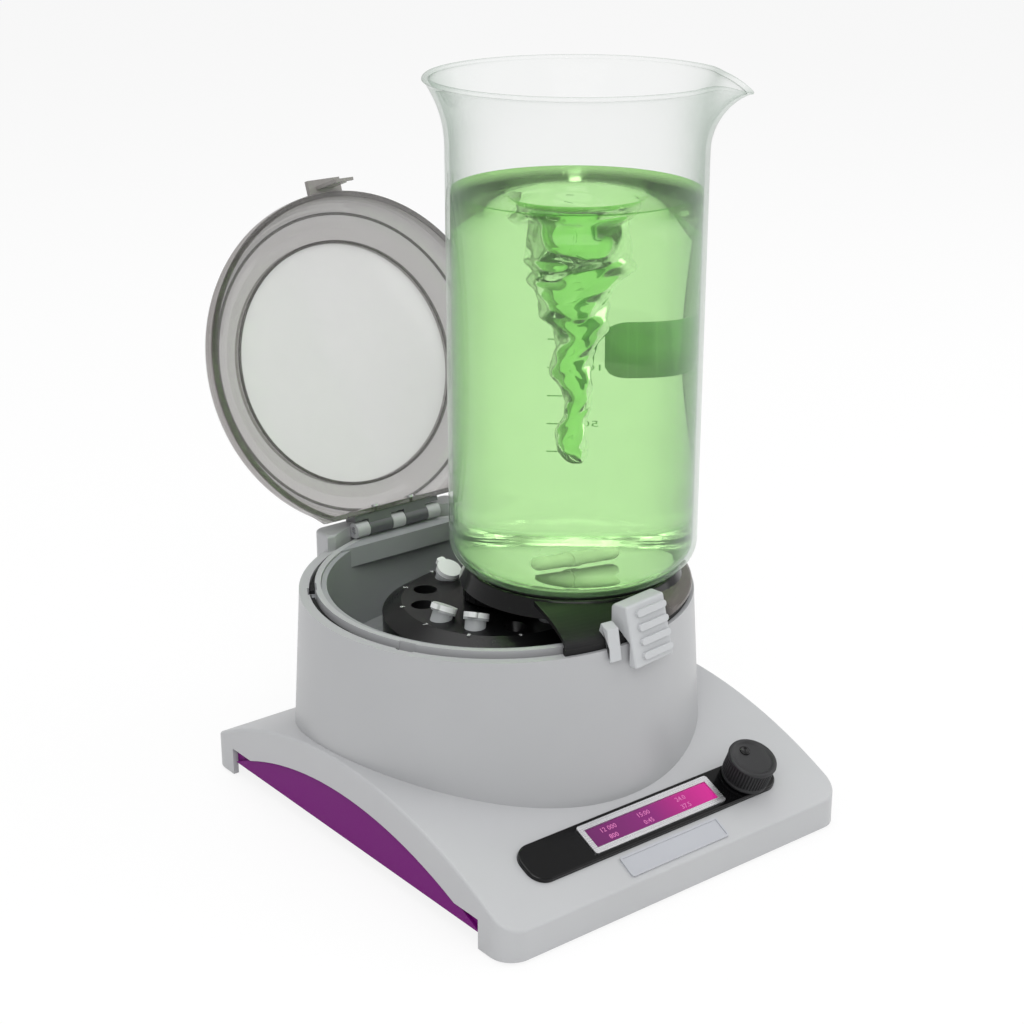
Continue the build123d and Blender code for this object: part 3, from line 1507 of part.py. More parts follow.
bar_plane = Plane(
    origin=(*stir, liquid_low + bar_lift + bar_radius), x_dir=(0, 1, 0), z_dir=(1, 0, 0)
)
with BuildPart() as stir_bar:
    with BuildSketch(bar_plane):
        Circle(bar_radius - 0.6)
    extrude(amount=bar_length / 2, both=True)
    fillet(stir_bar.edges().filter_by(GeomType.CIRCLE), bar_radius - 0.8)
    with BuildSketch(bar_plane):
        Circle(bar_radius)
    extrude(amount=bar_ring / 2, both=True)
pieces["stir_bar"] = stir_bar

for label, piece in pieces.items():
    piece.part.label = label
    export_step(piece.part, f"parts/{label}.step")
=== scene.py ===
import json
from math import cos, exp, pi, radians, sin, sqrt

import bmesh
import bpy
from bpy.props import FloatProperty, FloatVectorProperty, IntProperty, PointerProperty
from mathutils import Matrix, Vector


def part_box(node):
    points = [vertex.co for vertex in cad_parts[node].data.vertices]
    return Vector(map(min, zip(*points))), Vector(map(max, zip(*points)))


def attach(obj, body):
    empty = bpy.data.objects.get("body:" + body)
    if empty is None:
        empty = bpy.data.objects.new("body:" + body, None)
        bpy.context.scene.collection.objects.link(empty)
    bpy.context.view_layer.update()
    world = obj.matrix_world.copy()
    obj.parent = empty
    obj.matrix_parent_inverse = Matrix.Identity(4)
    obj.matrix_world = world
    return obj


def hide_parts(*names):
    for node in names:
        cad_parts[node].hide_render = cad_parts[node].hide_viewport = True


bl_info = {
    "name": "Stirring centrifuge",
    "version": (1, 0, 0),
    "blender": (4, 5, 0),
    "location": "View3D > Sidebar > Stirring centrifuge",
    "description": "Dresses a bench centrifuge with a stirring platform and a beaker of stirred liquid",
    "category": "Object",
}

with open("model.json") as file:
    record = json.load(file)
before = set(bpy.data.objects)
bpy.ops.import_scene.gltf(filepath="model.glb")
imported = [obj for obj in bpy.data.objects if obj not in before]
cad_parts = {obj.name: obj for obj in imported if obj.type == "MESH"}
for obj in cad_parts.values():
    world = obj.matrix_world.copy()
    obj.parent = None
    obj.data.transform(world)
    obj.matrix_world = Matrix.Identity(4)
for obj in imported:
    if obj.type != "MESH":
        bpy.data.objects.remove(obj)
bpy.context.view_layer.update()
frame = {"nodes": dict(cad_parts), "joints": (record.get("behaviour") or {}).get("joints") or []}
NODES = frame["nodes"]
JOINTS = {joint["name"]: joint for joint in frame["joints"]}

# All sizes are in metres, apart from the tables that say millimetres
MM = 0.001

# Places that the frame gives: axes of the bowl, the stirred beaker, the lid's hinge and the knob
DRUM = Vector(JOINTS["rotor_spin"]["pos_m"])
STIR = Vector(JOINTS["stir_spin"]["pos_m"])
HINGE = Vector(JOINTS["lid_hinge"]["pos_m"])
KNOB = Vector(JOINTS["knob_turn"]["pos_m"])
KNOB_AXIS = Vector(JOINTS["knob_turn"]["axis"])
LID_ANGLE = radians(JOINTS["lid_hinge"]["range_deg"][1])


def low(node):
    """Lowest corner of a frame node."""
    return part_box(node)[0]


def high(node):
    """Highest corner of a frame node."""
    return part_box(node)[1]


def paint(red, green, blue):
    """Colour as a picture shows it, from 0 to 255, turned into the shader's linear colour."""
    channels = []
    for value in (red, green, blue):
        share = value / 255
        channels.append(share / 12.92 if share <= 0.04045 else ((share + 0.055) / 1.055) ** 2.4)
    return (*channels, 1.0)


class Wire:
    """One output socket of a node tree. Sums and products of wires add Math nodes."""

    def __init__(self, plan, socket):
        self.socket = socket
        self.maths = plan.maths

    def __add__(self, other):
        return self.maths("ADD", self, other)

    def __radd__(self, other):
        return self.maths("ADD", other, self)

    def __sub__(self, other):
        return self.maths("SUBTRACT", self, other)

    def __rsub__(self, other):
        return self.maths("SUBTRACT", other, self)

    def __mul__(self, other):
        return self.maths("MULTIPLY", self, other)

    def __truediv__(self, other):
        return self.maths("DIVIDE", self, other)

    def __pow__(self, other):
        return self.maths("POWER", self, other)


class Plan:
    """A node tree of a material, of the world or of Geometry Nodes."""

    def __init__(self, tree):
        self.tree = tree

    def node(self, kind, settings=None, sockets=None, output=0):
        """Adds a node: its settings first, then the values or wires of its sockets."""
        made = self.tree.nodes.new(kind)
        for name, value in (settings or {}).items():
            if name == "stops":
                ramp = made.color_ramp
                while len(ramp.elements) < len(value):
                    ramp.elements.new(0.5)
                for element, (place, colour) in zip(ramp.elements, value):
                    element.position = place
                    element.color = colour
            else:
                setattr(made, name, value)
        for name, value in (sockets or {}).items():
            if isinstance(value, Wire):
                self.tree.links.new(value.socket, made.inputs[name])
            else:
                made.inputs[name].default_value = value
        return Wire(self, made.outputs[output])

    def maths(self, operation, first, second=0.0):
        return self.node("ShaderNodeMath", {"operation": operation}, {0: first, 1: second})


class Finish(Plan):
    """A procedural material on Object coordinates, built round one Principled shader."""

    def __init__(self, name, **constants):
        self.material = bpy.data.materials.new(name)
        self.material.use_nodes = True
        super().__init__(self.material.node_tree)
        self.shader = self.tree.nodes["Principled BSDF"]
        for socket, value in constants.items():
            self.shader.inputs[socket.replace("_", " ")].default_value = value

    def feed(self, socket, wire):
        """Links a wire to the shader."""
        self.tree.links.new(wire.socket, self.shader.inputs[socket])

    def place(self, stretch=(1, 1, 1)):
        """The surface point in object coordinates, with an optional stretch."""
        point = self.node("ShaderNodeTexCoord", output="Object")
        if stretch == (1, 1, 1):
            return point
        return self.node("ShaderNodeMapping", None, {"Vector": point, "Scale": stretch})

    def axis(self, name):
        """One coordinate of the surface point."""
        return self.node("ShaderNodeSeparateXYZ", None, {0: self.place()}, output=name)

    def noise(self, scale, detail=3.0, stretch=(1, 1, 1), distortion=0.0):
        sockets = {
            "Vector": self.place(stretch), "Scale": scale, "Detail": detail, "Distortion": distortion,
        }
        return self.node("ShaderNodeTexNoise", None, sockets)

    def blend(self, factor, first, second):
        """Colour between two colours."""
        sockets = {0: factor, 6: first, 7: second}
        return self.node("ShaderNodeMix", {"data_type": "RGBA"}, sockets, output=2)

    def ramp(self, factor, stops):
        return self.node("ShaderNodeValToRGB", {"stops": stops}, {0: factor})

    def facing(self):
        """0 where the surface faces the view, 1 at a glancing view."""
        return self.node("ShaderNodeLayerWeight", None, {"Blend": 0.5}, output="Facing")

    def fade(self, value, start, end):
        """Grows from 0 to 1 while a value goes from start to end."""
        sockets = {"Value": value, "From Min": start, "From Max": end}
        return self.node("ShaderNodeMapRange", None, sockets)

    def relief(self, height, depth):
        """Bumps the surface by a height from 0 to 1, of a depth in metres."""
        self.feed("Normal", self.node("ShaderNodeBump", None, {"Height": height, "Distance": depth}))

    def share_with(self, other, share):
        """Gives a share of the surface to another shader."""
        shader = Wire(self, self.shader.outputs[0])
        mixed = self.node("ShaderNodeMixShader", None, {0: share, 1: shader, 2: other})
        self.tree.links.new(mixed.socket, self.tree.nodes["Material Output"].inputs["Surface"])


def shade(colour, factor):
    """The same colour, lighter or darker."""
    return (*(min(1.0, channel * factor) for channel in colour[:3]), 1.0)


def moulded(name, colour, roughness, grain=1400.0, depth=0.03, coat=0.0, **constants):
    """Moulded plastic: faint flow mottle, fine grain of a depth in millimetres, uneven gloss."""
    finish = Finish(name, Coat_Weight=coat, Coat_Roughness=0.12, **constants)
    flow = finish.noise(14.0, 4.0, distortion=0.6)
    pits = finish.noise(grain, 2.0)
    finish.feed("Base Color", finish.blend(flow, shade(colour, 0.95), shade(colour, 1.05)))
    finish.feed("Roughness", roughness + (flow - 0.5) * 0.10 + (pits - 0.5) * 0.08)
    finish.relief(pits, depth * MM)
    return finish


def turned_metal(name, colour, roughness, stretch=(40, 40, 2500)):
    """Turned or drawn metal with fine tool lines."""
    finish = Finish(name, Metallic=1.0)
    lines = finish.noise(1.0, 5.0, stretch)
    cloud = finish.noise(60.0)
    finish.feed("Base Color", finish.blend(cloud, shade(colour, 0.9), shade(colour, 1.06)))
    finish.feed("Roughness", roughness + (lines - 0.5) * 0.22)
    finish.relief(lines, 0.012 * MM)
    return finish


def soft_rubber(name, colour, roughness=0.75):
    """Matt rubber with a chalky bloom."""
    finish = Finish(name, Specular_IOR_Level=0.35)
    bloom = finish.noise(45.0, 5.0)
    skin = finish.noise(1900.0, 2.0)
    finish.feed("Base Color", finish.blend(bloom, shade(colour, 0.8), shade(colour, 1.25)))
    finish.feed("Roughness", roughness + (bloom - 0.5) * 0.2)
    finish.relief(skin, 0.05 * MM)
    return finish


def clear_plastic(name, colour, face, edge, roughness=0.06, sharpness=2.5):
    """Thin clear plastic or glass: nearly open face on, closing towards a glancing view."""
    finish = Finish(name, IOR=1.5, Coat_Weight=0.6, Coat_Roughness=0.03)
    haze = finish.noise(22.0, 3.0)
    turn = finish.facing() ** sharpness
    finish.feed("Base Color", finish.blend(haze, shade(colour, 0.94), shade(colour, 1.05)))
    finish.feed("Roughness", roughness + haze * 0.03)
    finish.feed("Alpha", face + turn * (edge - face) + (haze - 0.5) * 0.03)
    return finish


def build_finishes():
    """All finishes by name."""
    return {
        "case": moulded("case_grey", paint(181, 182, 184), 0.42, coat=0.12),
        "bowl_case": moulded("bowl_case_grey", paint(172, 173, 175), 0.40, coat=0.15),
        "purple": moulded(
            "panel_purple", paint(112, 2, 112), 0.55, grain=900.0, Specular_IOR_Level=0.2
        ),
        "plate": moulded("underside_black", paint(38, 38, 40), 0.6, depth=0.06),
        "liner": moulded("liner_grey", paint(150, 152, 155), 0.38, coat=0.2),
        "rotor": moulded(
            "rotor_black", paint(16, 16, 17), 0.3, depth=0.02, coat=0.1, Specular_IOR_Level=0.3
        ),
        "gloss_black": moulded(
            "gloss_black", paint(8, 8, 9), 0.14, depth=0.004, coat=0.12, Specular_IOR_Level=0.25
        ),
        "satin_black": moulded("satin_black", paint(46, 46, 48), 0.45, depth=0.05),
        "knob": moulded("knob_black", paint(30, 30, 32), 0.5, depth=0.04),
        "leaf": moulded("leaf_dark", paint(84, 85, 88), 0.4, depth=0.02, coat=0.2),
        "tab": moulded("tab_grey", paint(134, 131, 128), 0.35, depth=0.02, coat=0.2),
        "enamel": moulded("mark_enamel", paint(214, 226, 214), 0.5, depth=0.01),
        "digits": moulded("display_digits", paint(222, 120, 186), 0.4, depth=0.005),
        "clip": moulded("clip_grey", paint(186, 188, 190), 0.5, depth=0.05),
        "zinc": turned_metal("zinc_plate", (0.62, 0.63, 0.65, 1), 0.38, (300, 300, 300)),
        "steel": turned_metal("ground_steel", (0.66, 0.66, 0.67, 1), 0.24),
        "trim": turned_metal("bright_trim", (0.80, 0.80, 0.82, 1), 0.28, (40, 2500, 40)),
        "magnet": turned_metal("nickel", (0.72, 0.71, 0.69, 1), 0.16, (90, 90, 90)),
        "coil": turned_metal("enamelled_copper", (0.72, 0.33, 0.14, 1), 0.3, (60, 60, 1800)),
        "seal": soft_rubber("seal_black", paint(24, 24, 25)),
        "feet": soft_rubber("foot_rubber", paint(70, 70, 72)),
        "pad": soft_rubber("pad_rubber", paint(30, 30, 31), 0.6),
        "smoked": clear_plastic("smoked_clear", paint(128, 120, 117), 0.40, 0.97, 0.05, 1.7),
        "skirt": skirt_finish(),
        "window": clear_plastic("window_clear", paint(206, 204, 205), 0.42, 0.9),
        "plate_grey": moulded("plate_grey", paint(176, 178, 184), 0.35, depth=0.01, coat=0.3),
        "edge_smoke": clear_plastic("smoked_edge", paint(70, 66, 64), 0.5, 0.95, 0.1),
        "glass": clear_plastic("beaker_glass", paint(150, 172, 156), 0.03, 0.86, 0.02, 3.0),
        "tube": clear_plastic("tube_frosted", paint(232, 236, 238), 0.45, 0.85, 0.25),
        "cap": moulded("cap_white", paint(238, 240, 240), 0.35, depth=0.02, coat=0.3),
        "bar": moulded("bar_white", paint(242, 242, 238), 0.4, depth=0.02),
        "board": board_finish(),
        "display": display_finish(),
        "liquid": liquid_finish(),
    }


def board_finish():
    """Green solder mask with paler tracks."""
    finish = Finish("circuit_board", Coat_Weight=0.4)
    sockets = {"Vector": finish.place(), "Scale": 180.0, "Mortar Size": 0.03}
    lanes = finish.node("ShaderNodeTexBrick", {"offset": 0.37}, sockets, output="Fac")
    finish.feed("Base Color", finish.blend(lanes, paint(18, 84, 50), paint(60, 130, 80)))
    finish.feed("Roughness", 0.35 + lanes * 0.15)
    finish.relief(lanes, 0.03 * MM)
    return finish


def skirt_finish():
    """Platform skirt: black under the grip, smoked and see-through beyond it."""
    finish = Finish("smoked_skirt", IOR=1.5, Specular_IOR_Level=0.35)
    along = finish.axis("Y") - DRUM.y
    turn = finish.maths("ARCTAN2", along, finish.axis("X") - DRUM.x)
    clear = finish.fade(turn, radians(-72), radians(-66))
    haze = finish.noise(30.0)
    finish.feed("Base Color", finish.blend(clear, paint(10, 10, 11), paint(112, 106, 102)))
    finish.feed("Roughness", 0.42 + haze * 0.1 - clear * 0.3)
    finish.feed("Alpha", 1.0 - clear * (0.5 - finish.facing() * 0.4))
    return finish


def display_finish():
    """Back-lit magenta glass, brighter and pinker towards the right."""
    finish = Finish("display_magenta", Roughness=0.12, Coat_Weight=0.3, Emission_Strength=0.35)
    span = high("display_window").x - low("display_window").x
    across = (finish.axis("X") - low("display_window").x) / span
    cells = finish.noise(900.0, 1.0)
    stops = [
        (0.0, paint(84, 8, 78)), (0.5, paint(112, 10, 96)), (0.8, paint(160, 12, 112)),
        (1.0, paint(188, 20, 128)),
    ]
    glow = finish.ramp(across, stops)
    finish.feed("Base Color", glow)
    finish.feed("Emission Color", finish.blend(cells * 0.25, glow, paint(150, 20, 120)))
    return finish


def liquid_finish():
    """Clear green liquid that bends light as water does, deeper in colour at its edges."""
    sizes = bpy.context.scene.bench_liquid
    finish = Finish("green_liquid", Transmission_Weight=1.0, IOR=1.33)
    swirl = finish.noise(26.0, 2.0, distortion=1.5)
    clear = finish.blend(swirl, shade(sizes.colour, 0.95), shade(sizes.colour, 1.05))
    finish.feed("Base Color", finish.blend(finish.facing() ** 2.2, clear, tuple(sizes.edge_colour)))
    finish.feed("Roughness", swirl * 0.02)
    through = finish.node("ShaderNodeBsdfTransparent", None, {"Color": tuple(sizes.through_colour)})
    surface = high("liquid").z
    near_top = finish.fade(finish.axis("Z"), surface - 0.006, surface - 0.002)
    finish.share_with(through, 0.08 + near_top * 0.72)
    return finish


# Filled by the operator for finishes
FINISHES = {}

# Nodes of the frame that wear each finish
DRESSING = {
    "case": ["base_shell"],
    "bowl_case": ["drum_housing", "hinge_bracket"],
    "leaf": ["hinge_leaf"],
    "tab": ["lid_latch"],
    "purple": ["side_panel_left", "side_panel_right"],
    "plate": ["base_plate"],
    "liner": ["chamber_liner"],
    "rotor": ["rotor", "rotor_nut"],
    "gloss_black": ["panel_fascia", "power_rocker", "platform_bell"],
    "satin_black": [
        "knob", "rear_panel", "power_switch", "power_inlet", "latch_guide", "display_module",
        "board_parts", "drive_cover", "magnet_carrier",
    ],
    "clip": ["platform_clip"],
    "zinc": [
        "base_screws", "drum_screws", "motor_bracket", "motor_screws", "motor_can", "encoder",
        "leaf_screws",
    ],
    "steel": [
        "lower_bearing", "upper_bearing", "motor_shaft", "hinge_pin", "encoder_shaft", "carrier_pin",
        "latch_slider",
    ],
    "trim": ["display_bezel"],
    "plate_grey": ["name_plate"],
    "edge_smoke": ["lid_gasket"],
    "magnet": ["hub_magnets", "motor_magnet", "drive_magnets"],
    "coil": ["motor_stator"],
    "seal": ["rim_seal", "damper_bushes", "platform_seal"],
    "feet": ["rubber_feet"],
    "pad": ["platform_pad"],
    "smoked": ["lid_shell"],
    "skirt": ["platform_skirt"],
    "window": ["lid_window"],
    "glass": ["beaker"],
    "tube": ["sample_tubes"],
    "cap": ["tube_caps"],
    "bar": ["stir_bar"],
    "board": ["main_board"],
    "display": ["display_window"],
    "liquid": ["liquid"],
}


def length(name, description, default):
    """Property that holds a length in metres."""
    return FloatProperty(name=name, description=description, default=default, unit="LENGTH")


def angle(name, description, default):
    """Property that holds an angle in radians."""
    return FloatProperty(name=name, description=description, default=default, subtype="ANGLE")


def tint(name, description, default):
    """Property that holds a linear colour with its alpha."""
    return FloatVectorProperty(
        name=name, description=description, default=default, subtype="COLOR", size=4, min=0, max=1
    )


class CameraSizes(bpy.types.PropertyGroup):
    azimuth: angle("Azimuth", "Turn of the view, 0 looks at the front", radians(-38.4))
    elevation: angle("Elevation", "Height of the view over the bench", radians(20.4))
    distance: length("Distance", "From the camera to the aim point", 0.99)
    lens: FloatProperty(name="Lens", description="Focal length in millimetres", default=69.3)
    aim_right: length("Aim right", "Aim point to the right of the middle", 0.0122)
    aim_height: length("Aim height", "Height of the aim point", 0.1471)


# Soft boxes: name, place, width and power in watts
LIGHTS = (
    ("key_light", (-0.9, -1.1, 1.5), 1.3, 15.0),
    ("fill_light", (1.4, -0.7, 0.9), 1.4, 8.0),
    ("top_light", (0.1, 0.3, 1.9), 1.6, 14.0),
)
LIGHT_AIM = Vector((0, 0, 0.15))
FLOOR_REACH = 60
FLOOR_DROP = 0.0004


class BENCH_OT_stage(bpy.types.Operator):
    """Makes the floor, the lights, the world and the camera"""

    bl_idname = "bench.stage"
    bl_label = "Stage"

    def execute(self, context):
        sizes = context.scene.bench_camera
        scene = context.scene
        scene.view_settings.view_transform = "Standard"
        corners = ((-1, -1), (1, -1), (1, 1), (-1, 1))
        points = [(x * FLOOR_REACH, y * FLOOR_REACH, -FLOOR_DROP) for x, y in corners]
        floor = mesh_object("bench_floor", points, [(0, 1, 2, 3)])
        give(floor, floor_material())
        make_world(scene)
        for light in LIGHTS:
            soft_light(*light)
        camera = linked("view_camera", bpy.data.cameras.new("view_camera"))
        turn, rise = sizes.azimuth, sizes.elevation
        back = Vector((sin(turn) * cos(rise), -cos(turn) * cos(rise), sin(rise)))
        aim = spoke(turn)[0] * sizes.aim_right + Vector((0, 0, sizes.aim_height))
        camera.location = aim + back * sizes.distance
        camera.rotation_euler = (-back).to_track_quat("-Z", "Y").to_euler()
        camera.data.lens = sizes.lens
        camera.data.clip_end = 200
        scene.camera = camera
        return {"FINISHED"}


def floor_material():
    """Pale floor: part lit, part white to the eye, so that it keeps a soft shadow."""
    finish = Finish("pale_floor", Roughness=0.9)
    cloud = finish.noise(3.0)
    finish.feed("Base Color", finish.blend(cloud, (0.90, 0.90, 0.90, 1), (0.93, 0.93, 0.93, 1)))
    seen = finish.node("ShaderNodeLightPath", output="Is Camera Ray")
    clear = finish.node("ShaderNodeLightPath", output="Is Transmission Ray")
    glow = finish.node("ShaderNodeEmission", None, {"Color": (1, 1, 1, 1), "Strength": 1.0})
    finish.share_with(glow, (seen + clear) * 0.86)
    return finish.material


def make_world(scene):
    """Even pale surroundings, white to the camera and through glass."""
    world = bpy.data.worlds.new("studio")
    world.use_nodes = True
    scene.world = world
    studio = Plan(world.node_tree)
    background = studio.tree.nodes["Background"]
    background.inputs["Color"].default_value = (1, 1, 1, 1)
    seen = studio.node("ShaderNodeLightPath", output="Is Camera Ray")
    through = studio.node("ShaderNodeLightPath", output="Is Transmission Ray")
    sockets = {"Value": studio.maths("MAXIMUM", seen, through), "To Min": 0.55, "To Max": 1.0}
    strength = studio.node("ShaderNodeMapRange", None, sockets)
    studio.tree.links.new(strength.socket, background.inputs["Strength"])


def soft_light(name, place, size, power):
    """Square soft box that looks at the middle of the object."""
    lamp = bpy.data.lights.new(name, "AREA")
    lamp.size = size
    lamp.energy = power
    holder = linked(name, lamp)
    holder.location = place
    sight = LIGHT_AIM - Vector(place)
    holder.rotation_euler = sight.to_track_quat("-Z", "Y").to_euler()


def linked(name, data):
    """New object in the scene, at the origin."""
    made = bpy.data.objects.new(name, data)
    bpy.context.scene.collection.objects.link(made)
    return made


def mesh_object(name, points, faces):
    """New object with a mesh of its own."""
    mesh = bpy.data.meshes.new(name)
    mesh.from_pydata([tuple(p) for p in points], [], faces)
    mesh.validate()
    return linked(name, mesh)


def give(piece, material):
    """Sets the one material of a piece."""
    piece.data.materials.clear()
    piece.data.materials.append(material)


def body_mesh(name, points, faces, smooth=True):
    """Closed mesh with its faces turned outward."""
    made = mesh_object(name, points, faces)
    close(made, 1e-7)
    if smooth:
        shade_smooth(made)
    return made


def shade_smooth(piece):
    """Shades every face of a piece smoothly."""
    piece.data.polygons.foreach_set("use_smooth", [True] * len(piece.data.polygons))


def close(piece, gap):
    """Joins the points that lie within a gap and turns the faces outward."""
    refine(piece, lambda mesh: bmesh.ops.remove_doubles(mesh, verts=mesh.verts, dist=gap))
    refine(piece, lambda mesh: bmesh.ops.recalc_face_normals(mesh, faces=mesh.faces))


def refine(piece, change):
    """Applies one bmesh change to a piece's mesh."""
    mesh = bmesh.new()
    mesh.from_mesh(piece.data)
    change(mesh)
    mesh.to_mesh(piece.data)
    mesh.free()


def lathe(name, outline, place, segments=96, shape=None):
    """Revolves pairs of radius and height about Z, then puts the result in place.

    The outline starts and ends on the axis, or closes on itself. The shape function may move each
    point: it gets radius, height, angle and how far along the outline the point is.
    """
    points, rows = [], []
    for row, (radius, height) in enumerate(outline):
        ring = []
        for step in range(1 if radius == 0 else segments):
            turn = 2 * pi * step / segments
            spot = (radius * cos(turn), radius * sin(turn), height)
            if shape:
                spot = shape(radius, height, turn, row / (len(outline) - 1))
            ring.append(len(points))
            points.append(place @ Vector(spot))
        rows.append(ring)
    pairs = list(zip(rows, rows[1:]))
    if outline[0][0] > 0:
        pairs.append((rows[-1], rows[0]))
    faces = []
    for first, second in pairs:
        for step in range(segments):
            after = (step + 1) % segments
            corners = [
                first[step % len(first)], first[after % len(first)],
                second[after % len(second)], second[step % len(second)],
            ]
            corners = list(dict.fromkeys(corners))
            if len(corners) > 2:
                faces.append(corners)
    return body_mesh(name, points, faces)


def slab(name, outline, thickness, place, rounding=0.0):
    """Plate with its outline in X and Y, its thickness along Z and its edges rounded."""
    count = len(outline)
    points = [(x, y, 0) for x, y in outline] + [(x, y, thickness) for x, y in outline]
    faces = [tuple(range(count)), tuple(range(count, 2 * count))]
    faces += [(i, (i + 1) % count, count + (i + 1) % count, count + i) for i in range(count)]
    made = body_mesh(name, points, faces, smooth=rounding > 0)
    if rounding:
        refine(
            made,
            lambda mesh: bmesh.ops.bevel(
                mesh, geom=mesh.edges[:], offset=rounding, segments=3, profile=0.5,
                affect="EDGES", clamp_overlap=True,
            ),
        )
        shade_smooth(made)
        made.modifiers.new("even_shading", "WEIGHTED_NORMAL")
    made.data.transform(place)
    return made


def arc(centre, radius, start, end, steps):
    """Points of a circular arc, with its angles in degrees."""
    turns = [radians(start + (end - start) * step / steps) for step in range(steps + 1)]
    return [(centre[0] + radius * cos(turn), centre[1] + radius * sin(turn)) for turn in turns]


def rounded_box(width, depth, radius, steps=4):
    """Outline of a rectangle with round corners, about the origin."""
    outline = []
    for x, y, start in ((1, -1, -90), (1, 1, 0), (-1, 1, 90), (-1, -1, 180)):
        centre = (x * (width / 2 - radius), y * (depth / 2 - radius))
        outline += arc(centre, radius, start, start + 90, steps)
    return outline


def between(table, place):
    """Value at a place, from a table of places and values with soft bends between them."""
    for (start, first), (end, second) in zip(table, table[1:]):
        if place <= end:
            share = max(0.0, (place - start) / (end - start))
            return first + (second - first) * (0.7 * share + 0.3 * share * share * (3 - 2 * share))
    return table[-1][1]


def framed(origin, across, out):
    """Place with X across and Z out of a surface."""
    z = Vector(out).normalized()
    x = Vector(across).normalized()
    y = z.cross(x)
    return Matrix.Translation(origin) @ Matrix((x, y, z)).transposed().to_4x4()


def upright(centre, height=0.0):
    """Place that stands over a point of the plan."""
    return Matrix.Translation((centre.x, centre.y, height))


def spoke(turn):
    """Directions out from an upright axis and across that, at a turn about the axis."""
    return Vector((cos(turn), sin(turn), 0)), Vector((-sin(turn), cos(turn), 0))


def evaluated_mesh(holder):
    """Plain mesh of an object as its text or its modifiers leave it."""
    graph = bpy.context.evaluated_depsgraph_get()
    return bpy.data.meshes.new_from_object(holder.evaluated_get(graph))


def numerals(text, size, thickness, place):
    """Plain numbers as a closed mesh that stands on the XY plane of its place."""
    curve = bpy.data.curves.new("figures", "FONT")
    curve.body = text
    curve.extrude = thickness / 2 / size
    curve.align_x = "CENTER"
    curve.align_y = "CENTER"
    curve.resolution_u = 2
    holder = linked("figures", curve)
    mesh = evaluated_mesh(holder)
    bpy.data.objects.remove(holder)
    made = linked("figures", mesh)
    close(made, 1e-4)
    made.data.transform(place @ Matrix.Translation((0, 0, thickness / 2)) @ Matrix.Scale(size, 4))
    return made


def joined(name, pieces):
    """One object from several."""
    merged = bmesh.new()
    for piece in pieces:
        merged.from_mesh(piece.data)
        bpy.data.objects.remove(piece)
    mesh = bpy.data.meshes.new(name)
    merged.to_mesh(mesh)
    merged.free()
    return linked(name, mesh)


def settle(piece, finish, body, slot, *nodes):
    """Gives a piece its finish and body and hides the nodes it stands for; the slot is not used."""
    give(piece, FINISHES[finish].material)
    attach(piece, body)
    if nodes:
        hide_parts(*nodes)


class Repeat(Plan):
    """A Geometry Nodes tree that repeats one small mesh, with named inputs."""

    def __init__(self, name, unit):
        self.name = name
        self.values = {}
        super().__init__(bpy.data.node_groups.new(name, "GeometryNodeTree"))
        self.tree.interface.new_socket(
            name="Repeats", in_out="OUTPUT", socket_type="NodeSocketGeometry"
        )
        self.source = self.tree.nodes.new("NodeGroupInput")
        self.exit = self.tree.nodes.new("NodeGroupOutput")
        self.unit = unit
        self.pattern = self.input("Unit", "NodeSocketObject", unit)

    def input(self, name, kind, value):
        """Adds a named input and gives its wire."""
        socket = self.tree.interface.new_socket(name=name, in_out="INPUT", socket_type=kind)
        self.values[socket.identifier] = value
        return Wire(self, self.source.outputs[name])

    def row(self, count, offset):
        """Points in a row from the origin."""
        return self.node("GeometryNodeMeshLine", None, {"Count": count, "Offset": offset})

    def ring(self, count, radius):
        """Points on a circle about Z, and the turns that point X outward."""
        turn = self.node("GeometryNodeInputIndex") * self.maths("DIVIDE", 2 * pi, count)
        sides = {"X": self.maths("COSINE", turn) * radius, "Y": self.maths("SINE", turn) * radius}
        sockets = {
            "Geometry": self.row(count, (0, 0, 0)),
            "Position": self.node("ShaderNodeCombineXYZ", None, sides),
        }
        points = self.node("GeometryNodeSetPosition", None, sockets)
        return points, self.node("ShaderNodeCombineXYZ", None, {"Z": turn})

    def bake(self, points, turn, finish, place):
        """Sets the unit on the points and bakes the result to a plain mesh with its material."""
        unit = self.node("GeometryNodeObjectInfo", None, {"Object": self.pattern}, "Geometry")
        sockets = {"Points": points, "Instance": unit, "Rotation": turn}
        spots = self.node("GeometryNodeInstanceOnPoints", None, sockets)
        real = self.node("GeometryNodeRealizeInstances", None, {"Geometry": spots})
        sockets = {"Geometry": real, "Material": FINISHES[finish].material}
        painted = self.node("GeometryNodeSetMaterial", None, sockets)
        self.tree.links.new(painted.socket, self.exit.inputs[0])
        carrier = mesh_object(self.name + "_carrier", [(0, 0, 0)], [])
        modifier = carrier.modifiers.new(self.name, "NODES")
        modifier.node_group = self.tree
        for identifier, value in self.values.items():
            modifier[identifier] = value
        mesh = evaluated_mesh(carrier)
        carrier.modifiers.remove(modifier)
        bpy.data.objects.remove(carrier)
        bpy.data.objects.remove(self.unit)
        if not mesh.polygons:
            raise RuntimeError(f"{self.name} made nothing")
        mesh.transform(place)
        return linked(self.name, mesh)


class BENCH_OT_finishes(bpy.types.Operator):
    """Makes the finishes and puts one on each piece of the frame"""

    bl_idname = "bench.finishes"
    bl_label = "Finishes"

    def execute(self, context):
        FINISHES.update(build_finishes())
        dressed = set()
        for finish, nodes in DRESSING.items():
            for node in nodes:
                give(NODES[node], FINISHES[finish].material)
                dressed.add(node)
        bare = sorted(set(NODES) - dressed)
        if bare:
            raise RuntimeError(f"no finish for {bare}")
        return {"FINISHED"}


